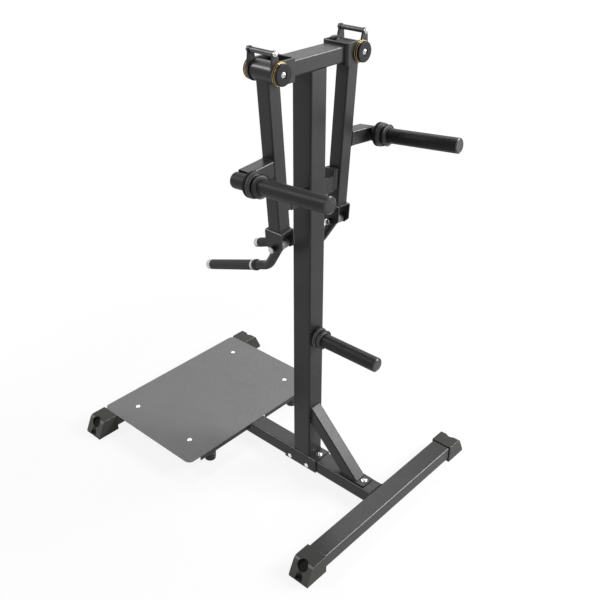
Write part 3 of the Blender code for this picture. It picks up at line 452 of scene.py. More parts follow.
def make_coat(name, slot, color, roughness, specular, peel_depth, rounds=None):
    """Powder coat: soft peel, a fine grit and faint cloudiness, with a painted highlight and a smoother coat
    on a tube's upward rounds.
    """
    coat = Finish(name, slot, color, roughness, specular=specular)
    cloud = coat.noise(0.045, 3.0)
    grit = coat.noise(0.0006, 1.0)
    speck = coat.cells(0.0045).step(0.05, 0.16)
    color = coat.mix(speck, coat.shade(0.92, 0.3), coat.shade(cloud, 0.10))
    if rounds:
        # Painted highlight on the tube's upward rounds.
        color = coat.paint_highlight_on_rounds(color, rounds, 0.5)
    peel = coat.bump(coat.noise(0.0032, 1.0), peel_depth)
    relief = coat.bump(grit, peel_depth * 0.18, Normal=peel)
    return coat.dress(color, roughness - 0.07 + 0.10 * cloud + 0.05 * grit, relief)


def make_horn_coat():
    """Gloss coat on the horns, with faint rubs along them."""
    coat = Finish("horn_gloss_coat", "powder_coat", (0.015, 0.015, 0.0155), 0.32, specular=0.22)
    cloud = coat.noise(0.05)
    mark = coat.noise(0.0011, squeeze=0.03).step(0.60, 0.74) * cloud.step(0.45, 0.7)
    color = coat.mix(mark * 0.6, coat.color, (0.085, 0.085, 0.085, 1.0))
    return coat.dress(color, 0.42 + 0.08 * cloud + 0.14 * mark, coat.bump(coat.noise(0.0035, 1.0), 0.00012))


def make_tread():
    """Grey anti-slip coat on the platform."""
    tread = Finish("tread_coat", "tread", (0.205, 0.205, 0.205), 0.72, specular=0.35)
    grit = tread.noise(0.0011)
    color = tread.shade(0.55 * tread.noise(0.09, 3.0) + 0.45 * grit, 0.12)
    return tread.dress(color, 0.66 + 0.14 * grit, tread.bump(grit, 0.00030))


def make_moulding(name, slot, color, roughness, grain, depth, specular, rounds=None):
    """Moulded rubber or plastic: leather-like grain with dull patches, with a painted highlight and a
    smoother coat on the upward rounds.
    """
    moulding = Finish(name, slot, color, roughness, specular=specular)
    dull = moulding.noise(0.018, 3.0)
    color = moulding.shade(dull, 0.16)
    if rounds:
        # Painted highlight on the moulding's upward rounds.
        color = moulding.paint_highlight_on_rounds(color, rounds, 1.0 - 0.3 * dull)
    skin = moulding.cells(grain) + 0.5 * moulding.noise(grain * 0.6)
    return moulding.dress(color, roughness - 0.08 + 0.16 * dull, moulding.bump(skin, depth))


def make_plating(name, slot, color, roughness):
    """Bright plating with fine scratches and a slight bloom."""
    plating = Finish(name, slot, color, roughness, metallic=1.0)
    bloom = plating.noise(0.006, 3.0)
    scratch = plating.noise(0.00035, 1.0, squeeze=0.2)
    gloss = roughness - 0.05 + 0.10 * bloom + 0.05 * scratch
    return plating.dress(plating.shade(bloom, 0.07), gloss, plating.bump(scratch, 0.00002))


def make_brass():
    """Turned brass: tool rings round each axle and warm tarnish."""
    brass = Finish("turned_brass", "brass", (0.64, 0.47, 0.22), 0.30, metallic=1.0)
    parts = brass.node("ShaderNodeSeparateXYZ", {0: brass.place})
    out = parts.size() - PIVOT_REACH
    up = parts.other("Z") - PIVOT_HEIGHT
    reach = (out * out + up * up) ** 0.5
    rings = (reach * (2 * math.pi / 0.0007)).sine()
    tarnish = brass.noise(0.008, 3.0)
    color = brass.mix(tarnish.step(0.45, 0.75), brass.color, (0.36, 0.22, 0.07, 1.0))
    return brass.dress(color, 0.24 + 0.18 * tarnish, brass.bump(rings, 0.00003, Strength=0.6))


def make_finishes():
    """Every finish by its plain name."""
    black = (0.026, 0.026, 0.027)
    coats = (
        ("coat", "black_powder_coat", "powder_coat", black, 0.33, 0.26, 0.00024),
        # The tube coat's last value is the painted highlight colour on its upward rounds.
        ("tube", "tube_powder_coat", "powder_coat", black, 0.33, 0.26, 0.00024, (0.125, 0.125, 0.125)),
        ("weld", "coated_weld", "powder_coat", (0.028, 0.028, 0.029), 0.33, 0.26, 0.00012),
        ("plug", "plug_gloss_coat", "powder_coat", (0.014, 0.014, 0.0145), 0.20, 0.55, 0.00006),
        ("rod", "rod_coat", "powder_coat", (0.060, 0.060, 0.061), 0.28, 0.50, 0.00008),
        ("sleeve", "dull_plating", "zinc", (0.165, 0.165, 0.168), 0.50, 0.35, 0.00005))
    mouldings = (
        # The foot rubber's last value is the painted highlight colour on its upward rounds.
        ("rubber", "foot_rubber", "foot_rubber", (0.045, 0.045, 0.041), 0.44, 0.0012, 0.00016, 0.16,
         (0.210, 0.210, 0.200)),
        # A near-black rubber for the disc at the bottom of the caps' wells: painted shade in the hole.
        ("pit", "well_rubber", "foot_rubber", (0.015, 0.015, 0.013), 0.60, 0.0012, 0.00010, 0.12),
        ("bumper", "bumper_rubber", "bumper_rubber", (0.034, 0.034, 0.034), 0.70, 0.0009, 0.00010, 0.25),
        ("collar", "collar_rubber", "collar_rubber", (0.050, 0.050, 0.051), 0.44, 0.0008, 0.00005, 0.35),
        ("gasket", "gasket_rubber", "collar_rubber", (0.008, 0.008, 0.008), 0.66, 0.0008, 0.00005, 0.15),
        ("grip", "grip_rubber", "grip_rubber", (0.030, 0.030, 0.031), 0.62, 0.0010, 0.00022, 0.3),
        ("plastic", "cover_plastic", "cap_plastic", (0.018, 0.018, 0.020), 0.40, 0.0007, 0.00003, 0.14))
    platings = (
        ("chrome", "bright_plating", "zinc", (0.52, 0.52, 0.53), 0.22),
        ("bright", "polished_plating", "zinc", (0.80, 0.80, 0.81), 0.36),
        ("bronze", "sintered_bronze", "bush_bronze", (0.46, 0.31, 0.15), 0.45))
    finishes = {"gloss": make_horn_coat(), "tread": make_tread(), "brass": make_brass()}
    for maker, rows in ((make_coat, coats), (make_moulding, mouldings), (make_plating, platings)):
        for key, *values in rows:
            finishes[key] = maker(*values)
    return finishes


FINISHES = make_finishes()


# Outlines, as flat points that run anticlockwise

def arc(center, radius, start_deg, end_deg, steps):
    points = []
    for index in range(steps + 1):
        angle = math.radians(start_deg + (end_deg - start_deg) * index / steps)
        points.append((center[0] + radius * math.cos(angle), center[1] + radius * math.sin(angle)))
    return points


def circle(radius, sides):
    angles = [2 * math.pi * side / sides for side in range(sides)]
    return [(radius * math.cos(angle), radius * math.sin(angle)) for angle in angles]


def rounded_rectangle(width, height, radius, steps=CORNER_STEPS):
    u = width / 2 - radius
    v = height / 2 - radius
    points = []
    for start, corner in ((0, (u, v)), (90, (-u, v)), (180, (-u, -v)), (270, (u, -v))):
        points += arc(corner, radius, start, start + 90, steps)
    return points


def seam_loop(width, height, radius, z=0.0):
    """The line of a weld round a square tube."""
    return [(u, v, z) for u, v in rounded_rectangle(width, height, radius, 3)]


def round_seam(radius, half, middle_deg, reach_deg, steps):
    """The line of a weld where a square tube meets a round one: an arc on either side."""
    points = []
    for z, reach in ((-half, reach_deg), (half, -reach_deg)):
        points += [(u, v, z) for u, v in arc((0, 0), radius, middle_deg - reach, middle_deg + reach, steps)]
    return points


def eased(points, closed=False, steps=5):
    """Rounds each corner that is given as (u, v, radius)."""
    result = []
    count = len(points)
    for index, point in enumerate(points):
        radius = point[2] if len(point) > 2 else 0
        last = index in (0, count - 1) and not closed
        if radius == 0 or last:
            result.append((point[0], point[1]))
            continue
        corner = Vector(point[:2])
        back = (Vector(points[index - 1][:2]) - corner).normalized()
        ahead = (Vector(points[(index + 1) % count][:2]) - corner).normalized()
        half = back.angle(ahead) / 2
        center = corner + (back + ahead).normalized() * (radius / math.sin(half))
        start = corner + back * (radius / math.tan(half)) - center
        end = corner + ahead * (radius / math.tan(half)) - center
        sweep = math.atan2(start.x * end.y - start.y * end.x, start.dot(end))
        for step in range(steps + 1):
            cosine = math.cos(sweep * step / steps)
            sine = math.sin(sweep * step / steps)
            result.append((
                center.x + start.x * cosine - start.y * sine,
                center.y + start.x * sine + start.y * cosine))
    return result


def tangent(first, first_radius, second, second_radius, side):
    """Angle of the line that touches two circles on the same side."""
    run = second[0] - first[0]
    rise = second[1] - first[1]
    spread = math.acos((first_radius - second_radius) / math.hypot(run, rise))
    return math.degrees(math.atan2(rise, run) + side * spread)


def channel_outline(inside, thickness, bend, length):
    """A U of bent plate, its back on u = 0 and its open end at u = length."""
    inner = inside / 2
    outer = inner + thickness
    inner_bend = bend - thickness
    points = arc((bend, outer - bend), bend, 90, 180, CORNER_STEPS)
    points += arc((bend, bend - outer), bend, 180, 270, CORNER_STEPS)
    points += [(length, -outer), (length, -inner)]
    points += arc((bend, inner_bend - inner), inner_bend, 270, 180, CORNER_STEPS)
    points += arc((bend, inner - inner_bend), inner_bend, 180, 90, CORNER_STEPS)
    points += [(length, inner), (length, outer)]
    return points


# Solids

def outward(mesh):
    bmesh.ops.recalc_face_normals(mesh, faces=mesh.faces[:])
    return mesh


def join_rings(mesh, first, second):
    """Faces between two rings of points, or between a ring and a single tip."""
    for index in range(max(len(first), len(second))):
        near = [first[spot % len(first)] for spot in (index, index + 1)]
        far = [second[spot % len(second)] for spot in (index + 1, index)]
        mesh.faces.new(list(dict.fromkeys(near + far)))


def prism(outline, low, high, hole=None):
    mesh = bmesh.new()
    rings = [[mesh.verts.new((u, v, z)) for u, v in outline] for z in (low, high)]
    join_rings(mesh, *rings)
    if hole is None:
        for ring in rings:
            mesh.faces.new(ring)
    else:
        inner = [[mesh.verts.new((u, v, z)) for u, v in hole] for z in (low, high)]
        for first, second in (inner, (rings[0], inner[0]), (rings[1], inner[1])):
            join_rings(mesh, first, second)
    return outward(mesh)


def box_tube(width, height, radius, low, high, wall=TUBE_WALL):
    outline = rounded_rectangle(width, height, radius)
    hole = rounded_rectangle(width - 2 * wall, height - 2 * wall, radius - wall + GAP)
    return prism(outline, low, high, hole)


def turned(profile, sides=ROUND_SIDES, ring=False):
    """A profile of (radius, height) points spun about Z."""
    mesh = bmesh.new()
    rows = []
    for radius, height in profile:
        around = circle(radius, sides) if radius else [(0, 0)]
        rows.append([mesh.verts.new((x, y, height)) for x, y in around])
    for first, second in zip(rows, rows[1:]):
        join_rings(mesh, first, second)
    if ring:
        join_rings(mesh, rows[-1], rows[0])
    return outward(mesh)


def round_bar(bore, radius, low, high, low_round=0, high_round=None, steps=5, sides=ROUND_SIDES):
    """A round bar, or a ring where it has a bore, with its outer rims rounded."""
    if high_round is None:
        high_round = low_round
    profile = [(bore, low), (radius, low, low_round), (radius, high, high_round), (bore, high)]
    return turned(eased(profile, steps=steps), sides, ring=bore > 0)


def swept_bar(path, radius):
    """A closed round bar along a path of (y, z) points."""
    mesh = bmesh.new()
    across = Vector((1, 0, 0))
    rows = []
    for index, (y, z) in enumerate(path):
        before = path[max(index - 1, 0)]
        after = path[min(index + 1, len(path) - 1)]
        along = Vector((0, after[0] - before[0], after[1] - before[1])).normalized()
        upward = along.cross(across)
        spokes = [across * u + upward * v for u, v in circle(radius, SMALL_SIDES)]
        rows.append([mesh.verts.new(Vector((0, y, z)) + spoke) for spoke in spokes])
    for first, second in zip(rows, rows[1:]):
        join_rings(mesh, first, second)
    for end in (rows[0], rows[-1]):
        mesh.faces.new(end)
    return outward(mesh)


def placed(mesh, place):
    bmesh.ops.transform(mesh, matrix=place, verts=mesh.verts[:])
    return mesh


def merged(*meshes):
    """Several loose solids as one mesh."""
    data = bpy.data.meshes.new("merging")
    whole = bmesh.new()
    for mesh in meshes:
        mesh.to_mesh(data)
        mesh.free()
        whole.from_mesh(data)
    bpy.data.meshes.remove(data)
    return whole


def twin(mesh, axis):
    """A shape and its copy, turned half round about an axis."""
    copy = mesh.copy()
    return merged(mesh, placed(copy, turn(180, axis)))


def linked(name, data):
    made = bpy.data.objects.new(name, data)
    bpy.context.scene.collection.objects.link(made)
    return made


def mesh_object(name, mesh):
    data = bpy.data.meshes.new(name)
    mesh.to_mesh(data)
    mesh.free()
    return linked(name, data)


def evaluated_mesh(item):
    """The object's mesh with its modifiers applied; the object is removed."""
    graph = bpy.context.evaluated_depsgraph_get()
    data = bpy.data.meshes.new_from_object(item.evaluated_get(graph), depsgraph=graph)
    mesh = bmesh.new()
    mesh.from_mesh(data)
    bpy.data.meshes.remove(data)
    bpy.data.objects.remove(item, do_unlink=True)
    return mesh


def carve(mesh, *steps):
    """Cuts, joins or trims a solid with others, each an (operation, solid, place)."""
    target = mesh_object("carving", mesh)
    guides = []
    for kind, solid, place in steps:
        guides.append(mesh_object("carving_guide", placed(solid, place)))
        modifier = target.modifiers.new("carve", "BOOLEAN")
        modifier.operation = kind
        modifier.solver = "EXACT"
        modifier.object = guides[-1]
    result = evaluated_mesh(target)
    for guide in guides:
        bpy.data.objects.remove(guide, do_unlink=True)
    bmesh.ops.remove_doubles(result, verts=result.verts[:], dist=MERGE_DISTANCE)
    return result


def ease_edges(mesh, width, segments=3, angle_deg=50):
    """Rounds every edge that is sharper than the angle."""
    limit = math.radians(angle_deg)
    edges = [e for e in mesh.edges if len(e.link_faces) == 2 and e.calc_face_angle(0) > limit]
    bmesh.ops.bevel(
        mesh, geom=edges, offset=width, segments=segments, profile=0.5,
        affect="EDGES", clamp_overlap=True)
    return mesh


# Repeated shapes, grown by geometry nodes

def new_growth(name, **inputs):
    """A geometry sheet, and the wires of its starting shape and its named inputs."""
    tree = bpy.data.node_groups.new(name, "GeometryNodeTree")
    inputs = {"Shape": "Geometry", **inputs}
    for label, kind in inputs.items():
        tree.interface.new_socket(label, in_out="INPUT", socket_type=f"NodeSocket{kind}")
    tree.interface.new_socket("Result", in_out="OUTPUT", socket_type="NodeSocketGeometry")
    sheet = Sheet(tree)
    source = sheet.node("NodeGroupInput")
    return sheet, *(source.other(label) for label in inputs)


def close_growth(sheet, shape, finish):
    """Realizes what grew, gives it its finish and ends the sheet."""
    whole = sheet.node("GeometryNodeRealizeInstances", {"Geometry": shape})
    painted = sheet.node("GeometryNodeSetMaterial", {"Geometry": whole, "Material": finish})
    sheet.node("NodeGroupOutput", {0: painted})
    return sheet.tree


def grow(mesh, tree, **values):
    """The mesh that a geometry sheet makes of a starting mesh."""
    item = mesh_object("growing", mesh)
    modifier = item.modifiers.new("growth", "NODES")
    modifier.node_group = tree
    for entry in tree.interface.items_tree:
        if entry.item_type == "SOCKET" and entry.in_out == "INPUT" and entry.name in values:
            modifier[entry.identifier] = values[entry.name]
    return evaluated_mesh(item)


def make_weld_growth():
    """A rippled bead along each line of edges."""
    sheet, shape, radius, pitch, swell, finish = new_growth(
        "weld_bead", Radius="Float", Pitch="Float", Swell="Float", Finish="Material")
    line = sheet.node("GeometryNodeMeshToCurve", {0: shape})
    fine = sheet.node("GeometryNodeResampleCurve", {"Curve": line, "Length": pitch * 0.2}, mode="LENGTH")
    run = sheet.node("GeometryNodeSplineParameter").other("Length")
    wave = (run * math.pi / pitch).sine().size()
    thick = radius * (1 - swell + swell * wave)
    section = sheet.node("GeometryNodeCurvePrimitiveCircle", {"Resolution": 8, "Radius": 1.0})
    bead = sheet.node("GeometryNodeCurveToMesh", {
        "Curve": fine, "Profile Curve": section, "Scale": thick, "Fill Caps": True})
    return close_growth(sheet, bead, finish)


def make_set_out_growth():
    """A copy of one shape on every point of the starting mesh."""
    sheet, shape, item, finish = new_growth("set_out", Item="Object", Finish="Material")
    copied = sheet.node("GeometryNodeObjectInfo", {"Object": item}).other("Geometry")
    spots = sheet.node("GeometryNodeMeshToPoints", {0: shape})
    copies = sheet.node("GeometryNodeInstanceOnPoints", {"Points": spots, "Instance": copied})
    return close_growth(sheet, copies, finish)


WELD_GROWTH = make_weld_growth()
SET_OUT_GROWTH = make_set_out_growth()


class Host:
    """A body that takes pieces, in the machine's middle or on one of its sides."""

    def __init__(self, body, label="", side=1):
        self.body = body
        self.tail = f"_{label}" if label else ""
        self.side = side

    def add(self, name, mesh, place, finish, node=None):
        """Puts a mesh on the body, mirrored on the left, in place of a node of this side or of both."""
        placed(mesh, MIRROR @ place if self.side < 0 else place)
        bmesh.ops.remove_doubles(mesh, verts=mesh.verts[:], dist=MERGE_DISTANCE)
        piece = mesh_object(name + self.tail, outward(mesh))
        piece.data.materials.append(FINISHES[finish].material)
        piece.data.shade_smooth()
        piece.data.set_sharp_from_angle(angle=math.radians(SHARP_DEG))
        piece.modifiers.new("even_shading", "WEIGHTED_NORMAL").keep_sharp = True
        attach(piece, self.body)
        if node:
            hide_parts(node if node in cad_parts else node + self.tail)

    def weld(self, name, points, place, closed=True, radius=WELD_RADIUS):
        """A bead along a line of (x, y, z) points."""
        line = bmesh.new()
        corners = [line.verts.new(point) for point in points]
        following = corners[1:] + corners[:1] if closed else corners[1:]
        for pair in zip(corners, following):
            line.edges.new(pair)
        bead = grow(line, WELD_GROWTH, Radius=radius, Pitch=WELD_PITCH, Swell=WELD_SWELL,
                    Finish=FINISHES["weld"].material)
        self.add(name, bead, place, "weld")

    def set_out(self, name, spots, item_mesh, finish):
        """Copies of a small shape, upright on each (x, y, z) spot."""
        item = mesh_object("set_out_item", item_mesh)
        points = bmesh.new()
        for spot in spots:
            points.verts.new(spot)
        copies = grow(points, SET_OUT_GROWTH, Item=item, Finish=FINISHES[finish].material)
        bpy.data.objects.remove(item, do_unlink=True)
        self.add(name, copies, ROOT, finish)


MIDDLE = Host("frame")
FRAME_SIDES = [Host("frame", label, side) for label, side in SIDES]


# Small fasteners

def dome_head(radius, height, shoulder=0.35):
    """A round-topped bolt head standing on z = 0."""
    rise = height * (1 - shoulder)
    sphere = (radius * radius + rise * rise) / (2 * rise)
    profile = [(0, 0), (radius, 0), (radius, height * shoulder)]
    reach = math.asin(min(1.0, radius / sphere))
    for step in range(1, 9):
        angle = reach * (1 - step / 8)
        profile.append((sphere * math.sin(angle), height - sphere + sphere * math.cos(angle)))
    return turned(profile, SMALL_SIDES)


def socket_head(radius, height, key_radius, depth):
    """A domed head with a hexagon socket."""
    key = prism(circle(key_radius, 6), height - depth, height + depth)
    return ease_edges(carve(dome_head(radius, height), ("DIFFERENCE", key, move())), 0.0002, 1)


def hex_nut(radius, height):
    """A hexagon nut with bevelled corners and the bolt's end in it."""
    bolt_end = 0.0014
    nut = ease_edges(prism(circle(radius, 6), 0, height - 0.0012), PLATE_EDGE, 2)
    return merged(nut, placed(dome_head(radius * 0.5, bolt_end), move(z=height - bolt_end)))


def washer(inner, outer, low, thickness):
    return round_bar(inner, outer, low, low + thickness, thickness * 0.3, steps=2, sides=SMALL_SIDES)


def add_socket_bolt(name, y, z):
    """A washer and a domed socket bolt on the machine's middle line, both plated."""
    flat = washer(FRAME_WASHER_HOLE, FRAME_WASHER_RADIUS, 0, FRAME_WASHER_THICKNESS)
    head = placed(socket_head(*FRAME_SCREW), move(z=FRAME_WASHER_THICKNESS))
    MIDDLE.add(name, merged(flat, head), ROOT @ move(0, y, z), "chrome")


# Cross feet, main beam and end caps

def build_base():
    for end, y in FEET:
        tube = box_tube(BASE_HEIGHT, BASE_DEPTH, BASE_ROUND, -FOOT_REACH, FOOT_REACH)
        MIDDLE.add(f"{end}_foot_tube", tube, ROOT @ move(0, y, BASE_MIDDLE) @ ALONG_X, "tube",
                   f"{end}_stabilizer")
    tube = box_tube(BEAM_WIDTH, BASE_HEIGHT, BASE_ROUND, BEAM_FRONT, BEAM_REAR)
    MIDDLE.add("beam_tube", tube, ROOT @ move(z=BASE_MIDDLE) @ ALONG_Y, "tube", "main_beam")
    seam = seam_loop(BEAM_WIDTH, BASE_HEIGHT, BASE_ROUND)
    for end, y in (("rear", BEAM_REAR), ("front", BEAM_FRONT)):
        MIDDLE.weld(f"{end}_foot_weld", seam, ROOT @ move(0, y, BASE_MIDDLE) @ ALONG_Y)


def scoop_cutter():
    """A round-backed channel that opens to the cap's top and end."""
    outline = arc((CHANNEL_BACK + CHANNEL_HALF, 0), CHANNEL_HALF, 90, 270, 24)
    outline += [(2 * CAP_TIP, -CHANNEL_HALF), (2 * CAP_TIP, CHANNEL_HALF)]
    return prism(outline, CHANNEL_FLOOR, 2 * CAP_HEIGHT)


def cap_shell(well):
    """A moulded cap with the tube's socket, a slanted well and a screw channel cut in it."""
    outline = eased([
        (CAP_MOUTH, 0), (CAP_TIP, 0, CAP_TOE_ROUND), (CAP_TIP, CAP_HEEL, CAP_HEEL_ROUND),
        (CAP_TIP - CAP_SLOPE_RUN, CAP_HEIGHT, CAP_SHOULDER), (CAP_MOUTH, CAP_HEIGHT)], closed=True, steps=8)
    block = placed(ease_edges(prism(outline, -CAP_HALF, CAP_HALF), CAP_EDGE, 5, 60), STAND_XZ)
    opening = rounded_rectangle(BASE_HEIGHT + 2 * GAP, BASE_DEPTH + 2 * GAP, BASE_ROUND)
    socket = prism(opening, CAP_MOUTH - CAP_COVER, FOOT_REACH + GAP)
    shell = carve(
        block,
        ("DIFFERENCE", socket, move(z=BASE_MIDDLE) @ ALONG_X),
        ("DIFFERENCE", round_bar(0, WELL_RADIUS, -WELL_DEPTH, CAP_HEIGHT), well),
        ("DIFFERENCE", scoop_cutter(), move()))
    return ease_edges(shell, CAP_RIM, 4, 40)


def build_end_caps():
    well = move(WELL_X, 0, WELL_Z) @ turn(90 - WELL_TILT_DEG, "Y")
    channel = move(CHANNEL_BACK + GAP, 0, CHANNEL_FLOOR + CAP_SCREW_LIFT) @ ALONG_X
    for end, y in FEET:
        place = ROOT @ move(y=y)
        for host in FRAME_SIDES:
            host.add(f"{end}_foot_cap", cap_shell(well), place, "rubber", f"{end}_cap")
            # A near-black disc on the well's bottom: painted shade that darkens the hole.
            floor = round_bar(0, WELL_RADIUS - GAP, WELL_FLOOR_LOW, WELL_FLOOR_HIGH)
            host.add(f"{end}_cap_well", floor, place @ well, "pit")
            host.add(f"{end}_cap_screw", socket_head(*CAP_SCREW), place @ channel, "plastic")


# Column, crossbar, saddle, brace and storage peg

def build_column():
    low = SADDLE_TOP + GAP
    high = PIVOT_HEIGHT - CROSSBAR_HEIGHT / 2 - GAP
    tube = box_tube(COLUMN_WIDTH, COLUMN_DEPTH, COLUMN_ROUND, low, high)
    MIDDLE.add("column_tube", tube, ROOT, "tube", "upright")
    bar = box_tube(CROSSBAR_HEIGHT, CROSSBAR_DEPTH, COLUMN_ROUND, -CROSSBAR_REACH, CROSSBAR_REACH)
    MIDDLE.add("crossbar_tube", bar, CROSSBAR_PLACE, "tube", "crossbar")
    for part, depth, height in (("foot", COLUMN_DEPTH, low), ("top", CROSSBAR_DEPTH, high)):
        MIDDLE.weld(f"column_{part}_weld", seam_loop(COLUMN_WIDTH, depth, COLUMN_ROUND, height), ROOT)
    seam = seam_loop(CROSSBAR_HEIGHT, CROSSBAR_DEPTH, COLUMN_ROUND, CROSSBAR_REACH)
    for host in FRAME_SIDES:
        host.weld("crossbar_weld", seam, CROSSBAR_PLACE)


def build_saddle():
    inside = BEAM_WIDTH + 2 * GAP
    drop = SADDLE_TOP - BASE_CLEARANCE
    strip = prism(channel_outline(inside, SADDLE_PLATE, SADDLE_BEND, drop), SADDLE_TOE_FRONT, SADDLE_REAR)
    slant = SADDLE_TOP_FRONT - SADDLE_TOE_FRONT
    above = 2 * SADDLE_TOP - BASE_CLEARANCE
    wedge = [(SADDLE_TOE_FRONT, BASE_CLEARANCE), (SADDLE_TOP_FRONT, SADDLE_TOP),
             (SADDLE_TOP_FRONT + slant, above), (SADDLE_TOE_FRONT - slant, above),
             (SADDLE_TOE_FRONT - slant, BASE_CLEARANCE)]
    saddle = carve(
        placed(strip, move(z=SADDLE_TOP) @ HANG_YZ),
        ("DIFFERENCE", prism(wedge, -BEAM_WIDTH, BEAM_WIDTH), STAND_YZ))
    MIDDLE.add("saddle_plate", ease_edges(saddle, PLATE_EDGE), ROOT, "tube", "upright_saddle")
    for part, y in SADDLE_BOLT_PLACES:
        head = merged(
            washer(SADDLE_BOLT_HOLE, SADDLE_WASHER_RADIUS, 0, SADDLE_WASHER_THICKNESS),
            dome_head(SADDLE_BOLT_RADIUS, SADDLE_BOLT_HEIGHT))
        heads = twin(placed(head, move(inside / 2 + SADDLE_PLATE) @ ALONG_X), "Z")
        MIDDLE.add(f"saddle_bolt_heads_{part}", heads, ROOT @ move(0, y, BASE_CLEARANCE + SADDLE_BOLT_LIFT),
                   "bright", f"saddle_bolt_{part}")
    add_socket_bolt("saddle_top_bolt", SADDLE_SCREW_Y, SADDLE_TOP)


def build_brace():
    foot_low = BASE_TOP + GAP
    foot_high = foot_low + BRACE_FOOT_THICKNESS
    face = COLUMN_DEPTH / 2 + GAP
    drop = BRACE_SIDE * math.sqrt(2)
    length = 2 * BRACE_RISE
    top = foot_low + BRACE_RISE
    tilt = move(0, face, top - drop / 2) @ turn(45, "X")
    body = placed(prism(rounded_rectangle(BRACE_SIDE, BRACE_SIDE, BRACE_ROUND), -length, length), tilt)
    sunk = foot_high - 0.001
    beside = [(face, sunk), (face + length, sunk), (face + length, length), (face, length)]
    tube = carve(body, ("INTERSECT", prism(beside, -BRACE_SIDE, BRACE_SIDE), STAND_YZ))
    MIDDLE.add("brace_tube", tube, ROOT, "coat", "brace")
    plate_length = BRACE_FOOT_REAR - BRACE_FOOT_FRONT
    plate = prism(rounded_rectangle(BRACE_FOOT_WIDTH, plate_length, BRACE_ROUND), foot_low, foot_high)
    MIDDLE.add("brace_foot_plate", ease_edges(plate, PLATE_EDGE),
               ROOT @ move(y=BRACE_FOOT_FRONT + plate_length / 2), "coat")
    add_socket_bolt("brace_foot_bolt", BRACE_SCREW_Y, foot_high)
    seam = seam_loop(BRACE_SIDE, drop, BRACE_ROUND)
    MIDDLE.weld("brace_top_weld", seam, ROOT @ move(0, face, top - drop / 2) @ turn(90, "X"))
    toe = face + top - foot_high
    MIDDLE.weld("brace_foot_weld", seam, ROOT @ move(0, toe - drop / 2, foot_high))


def horn_plug(high):
    """The bevelled plug in a horn's end, with a fine groove round its flat middle."""
    seam = HORN_RADIUS - PLUG_SEAM_INSET
    low = high - PLUG_BEVEL + 0.0002
    profile = [
        (0, low), (HORN_RADIUS, low), (HORN_RADIUS, low + 0.0003, 0.0003),
        (HORN_RADIUS - PLUG_BEVEL, high, 0.0008), (seam + PLUG_GROOVE, high), (seam, high - PLUG_GROOVE),
        (seam - PLUG_GROOVE, high), (0, high + PLUG_GROOVE)]
    return turned(eased(profile))


def rear_collar(outer, start, length):
    """The soft ring behind the collar, slanted towards its groove."""
    bore = HORN_RADIUS + GAP
    end = start + length * COLLAR_BACK_SHARE
    profile = [
        (bore, start), (outer, start, COLLAR_RIM), (outer, end - COLLAR_RIM, COLLAR_RIM),
        (outer - COLLAR_SLANT, end, 0.0004), (bore, end)]
    return turned(eased(profile), FINE_SIDES, ring=True)


def front_collar(outer, start, length):
    """A domed ring and a smaller round one, whose dished front runs out along the horn."""
    bore = HORN_RADIUS + GAP
    low = start + length * COLLAR_BACK_SHARE + GAP
    high = start + length
    groove = low + (high - low) * COLLAR_GROOVE_SHARE
    rim = outer - GAP
    front = rim - COLLAR_DROP
    lip = high + COLLAR_LIP
    profile = [
        (bore, low), (rim - COLLAR_SLANT, low, 0.0004), (rim, low + 0.0020, 0.0026),
        (rim, low + 0.0062, 0.0060), (front + 0.0002, groove, 0.0060), (front, high, 0.0056),
        (bore + 0.0066, high - 0.0074, 0.0044), (bore + 0.0008, lip, 0.0010), (bore, lip)]
    return turned(eased(profile, steps=7), FINE_SIDES, ring=True)


def add_horn(host, kind, place, low, high, low_round, collar, nodes):
    """A horn with the plug in its end and the two parts of its rubber collar."""
    bar_node, collar_node = nodes
    bar = round_bar(0, HORN_RADIUS, low, high - PLUG_BEVEL, low_round, 0, steps=8)
    host.add(f"{kind}_horn", bar, place, "gloss", bar_node)
    host.add(f"{kind}_horn_plug", horn_plug(high), place, "plug")
    for part, shape, finish in (("rear", rear_collar, "gasket"), ("front", front_collar, "collar")):
        host.add(f"{kind}_collar_{part}", shape(*collar), place, finish, collar_node)


def build_storage_peg():
    place = ROOT @ move(0, COLUMN_DEPTH / 2 + GAP, PEG_HEIGHT) @ ALONG_Y
    collar = (PEG_COLLAR_RADIUS, 0, PEG_COLLAR_LENGTH)
    add_horn(MIDDLE, "storage", place, 0, PEG_LENGTH, PEG_EDGE, collar, ("storage_peg", "peg_collar"))


# End brackets with their axles and stop rods

def ear_outline(back):
    rod = (STOP_ROD_OUT, STOP_ROD_UP)
    shoulder = (LUG_SHOULDER, EAR_RADIUS)
    nose_deg = tangent((0, 0), EAR_RADIUS, rod, LUG_RADIUS, -1)
    lug_end_deg = tangent(shoulder, 0, rod, LUG_RADIUS, 1)
    points = [(back, -EAR_RADIUS)]
    points += arc((0, 0), EAR_RADIUS, -90, nose_deg, 24)
    points += arc(rod, LUG_RADIUS, nose_deg, lug_end_deg, 24)
    points += [shoulder, (back, EAR_RADIUS)]
    return points


def pivot_flange():
    """Two thin brass flanges on one boss."""
    low = BRACKET_HALF + GAP
    high = RING_OUTER_Y
    outer = RING_RADIUS - FLANGE_STEP
    profile = [
        (RING_BORE, low), (RING_RADIUS, low, FLANGE_EDGE), (RING_RADIUS, low + FLANGE_RIM, FLANGE_EDGE),
        (RING_BOSS, low + FLANGE_RIM), (RING_BOSS, high - FLANGE_RIM),
        (outer, high - FLANGE_RIM, FLANGE_EDGE), (outer, high, FLANGE_EDGE), (RING_BORE, high)]
    return turned(eased(profile, steps=4), FINE_SIDES, ring=True)


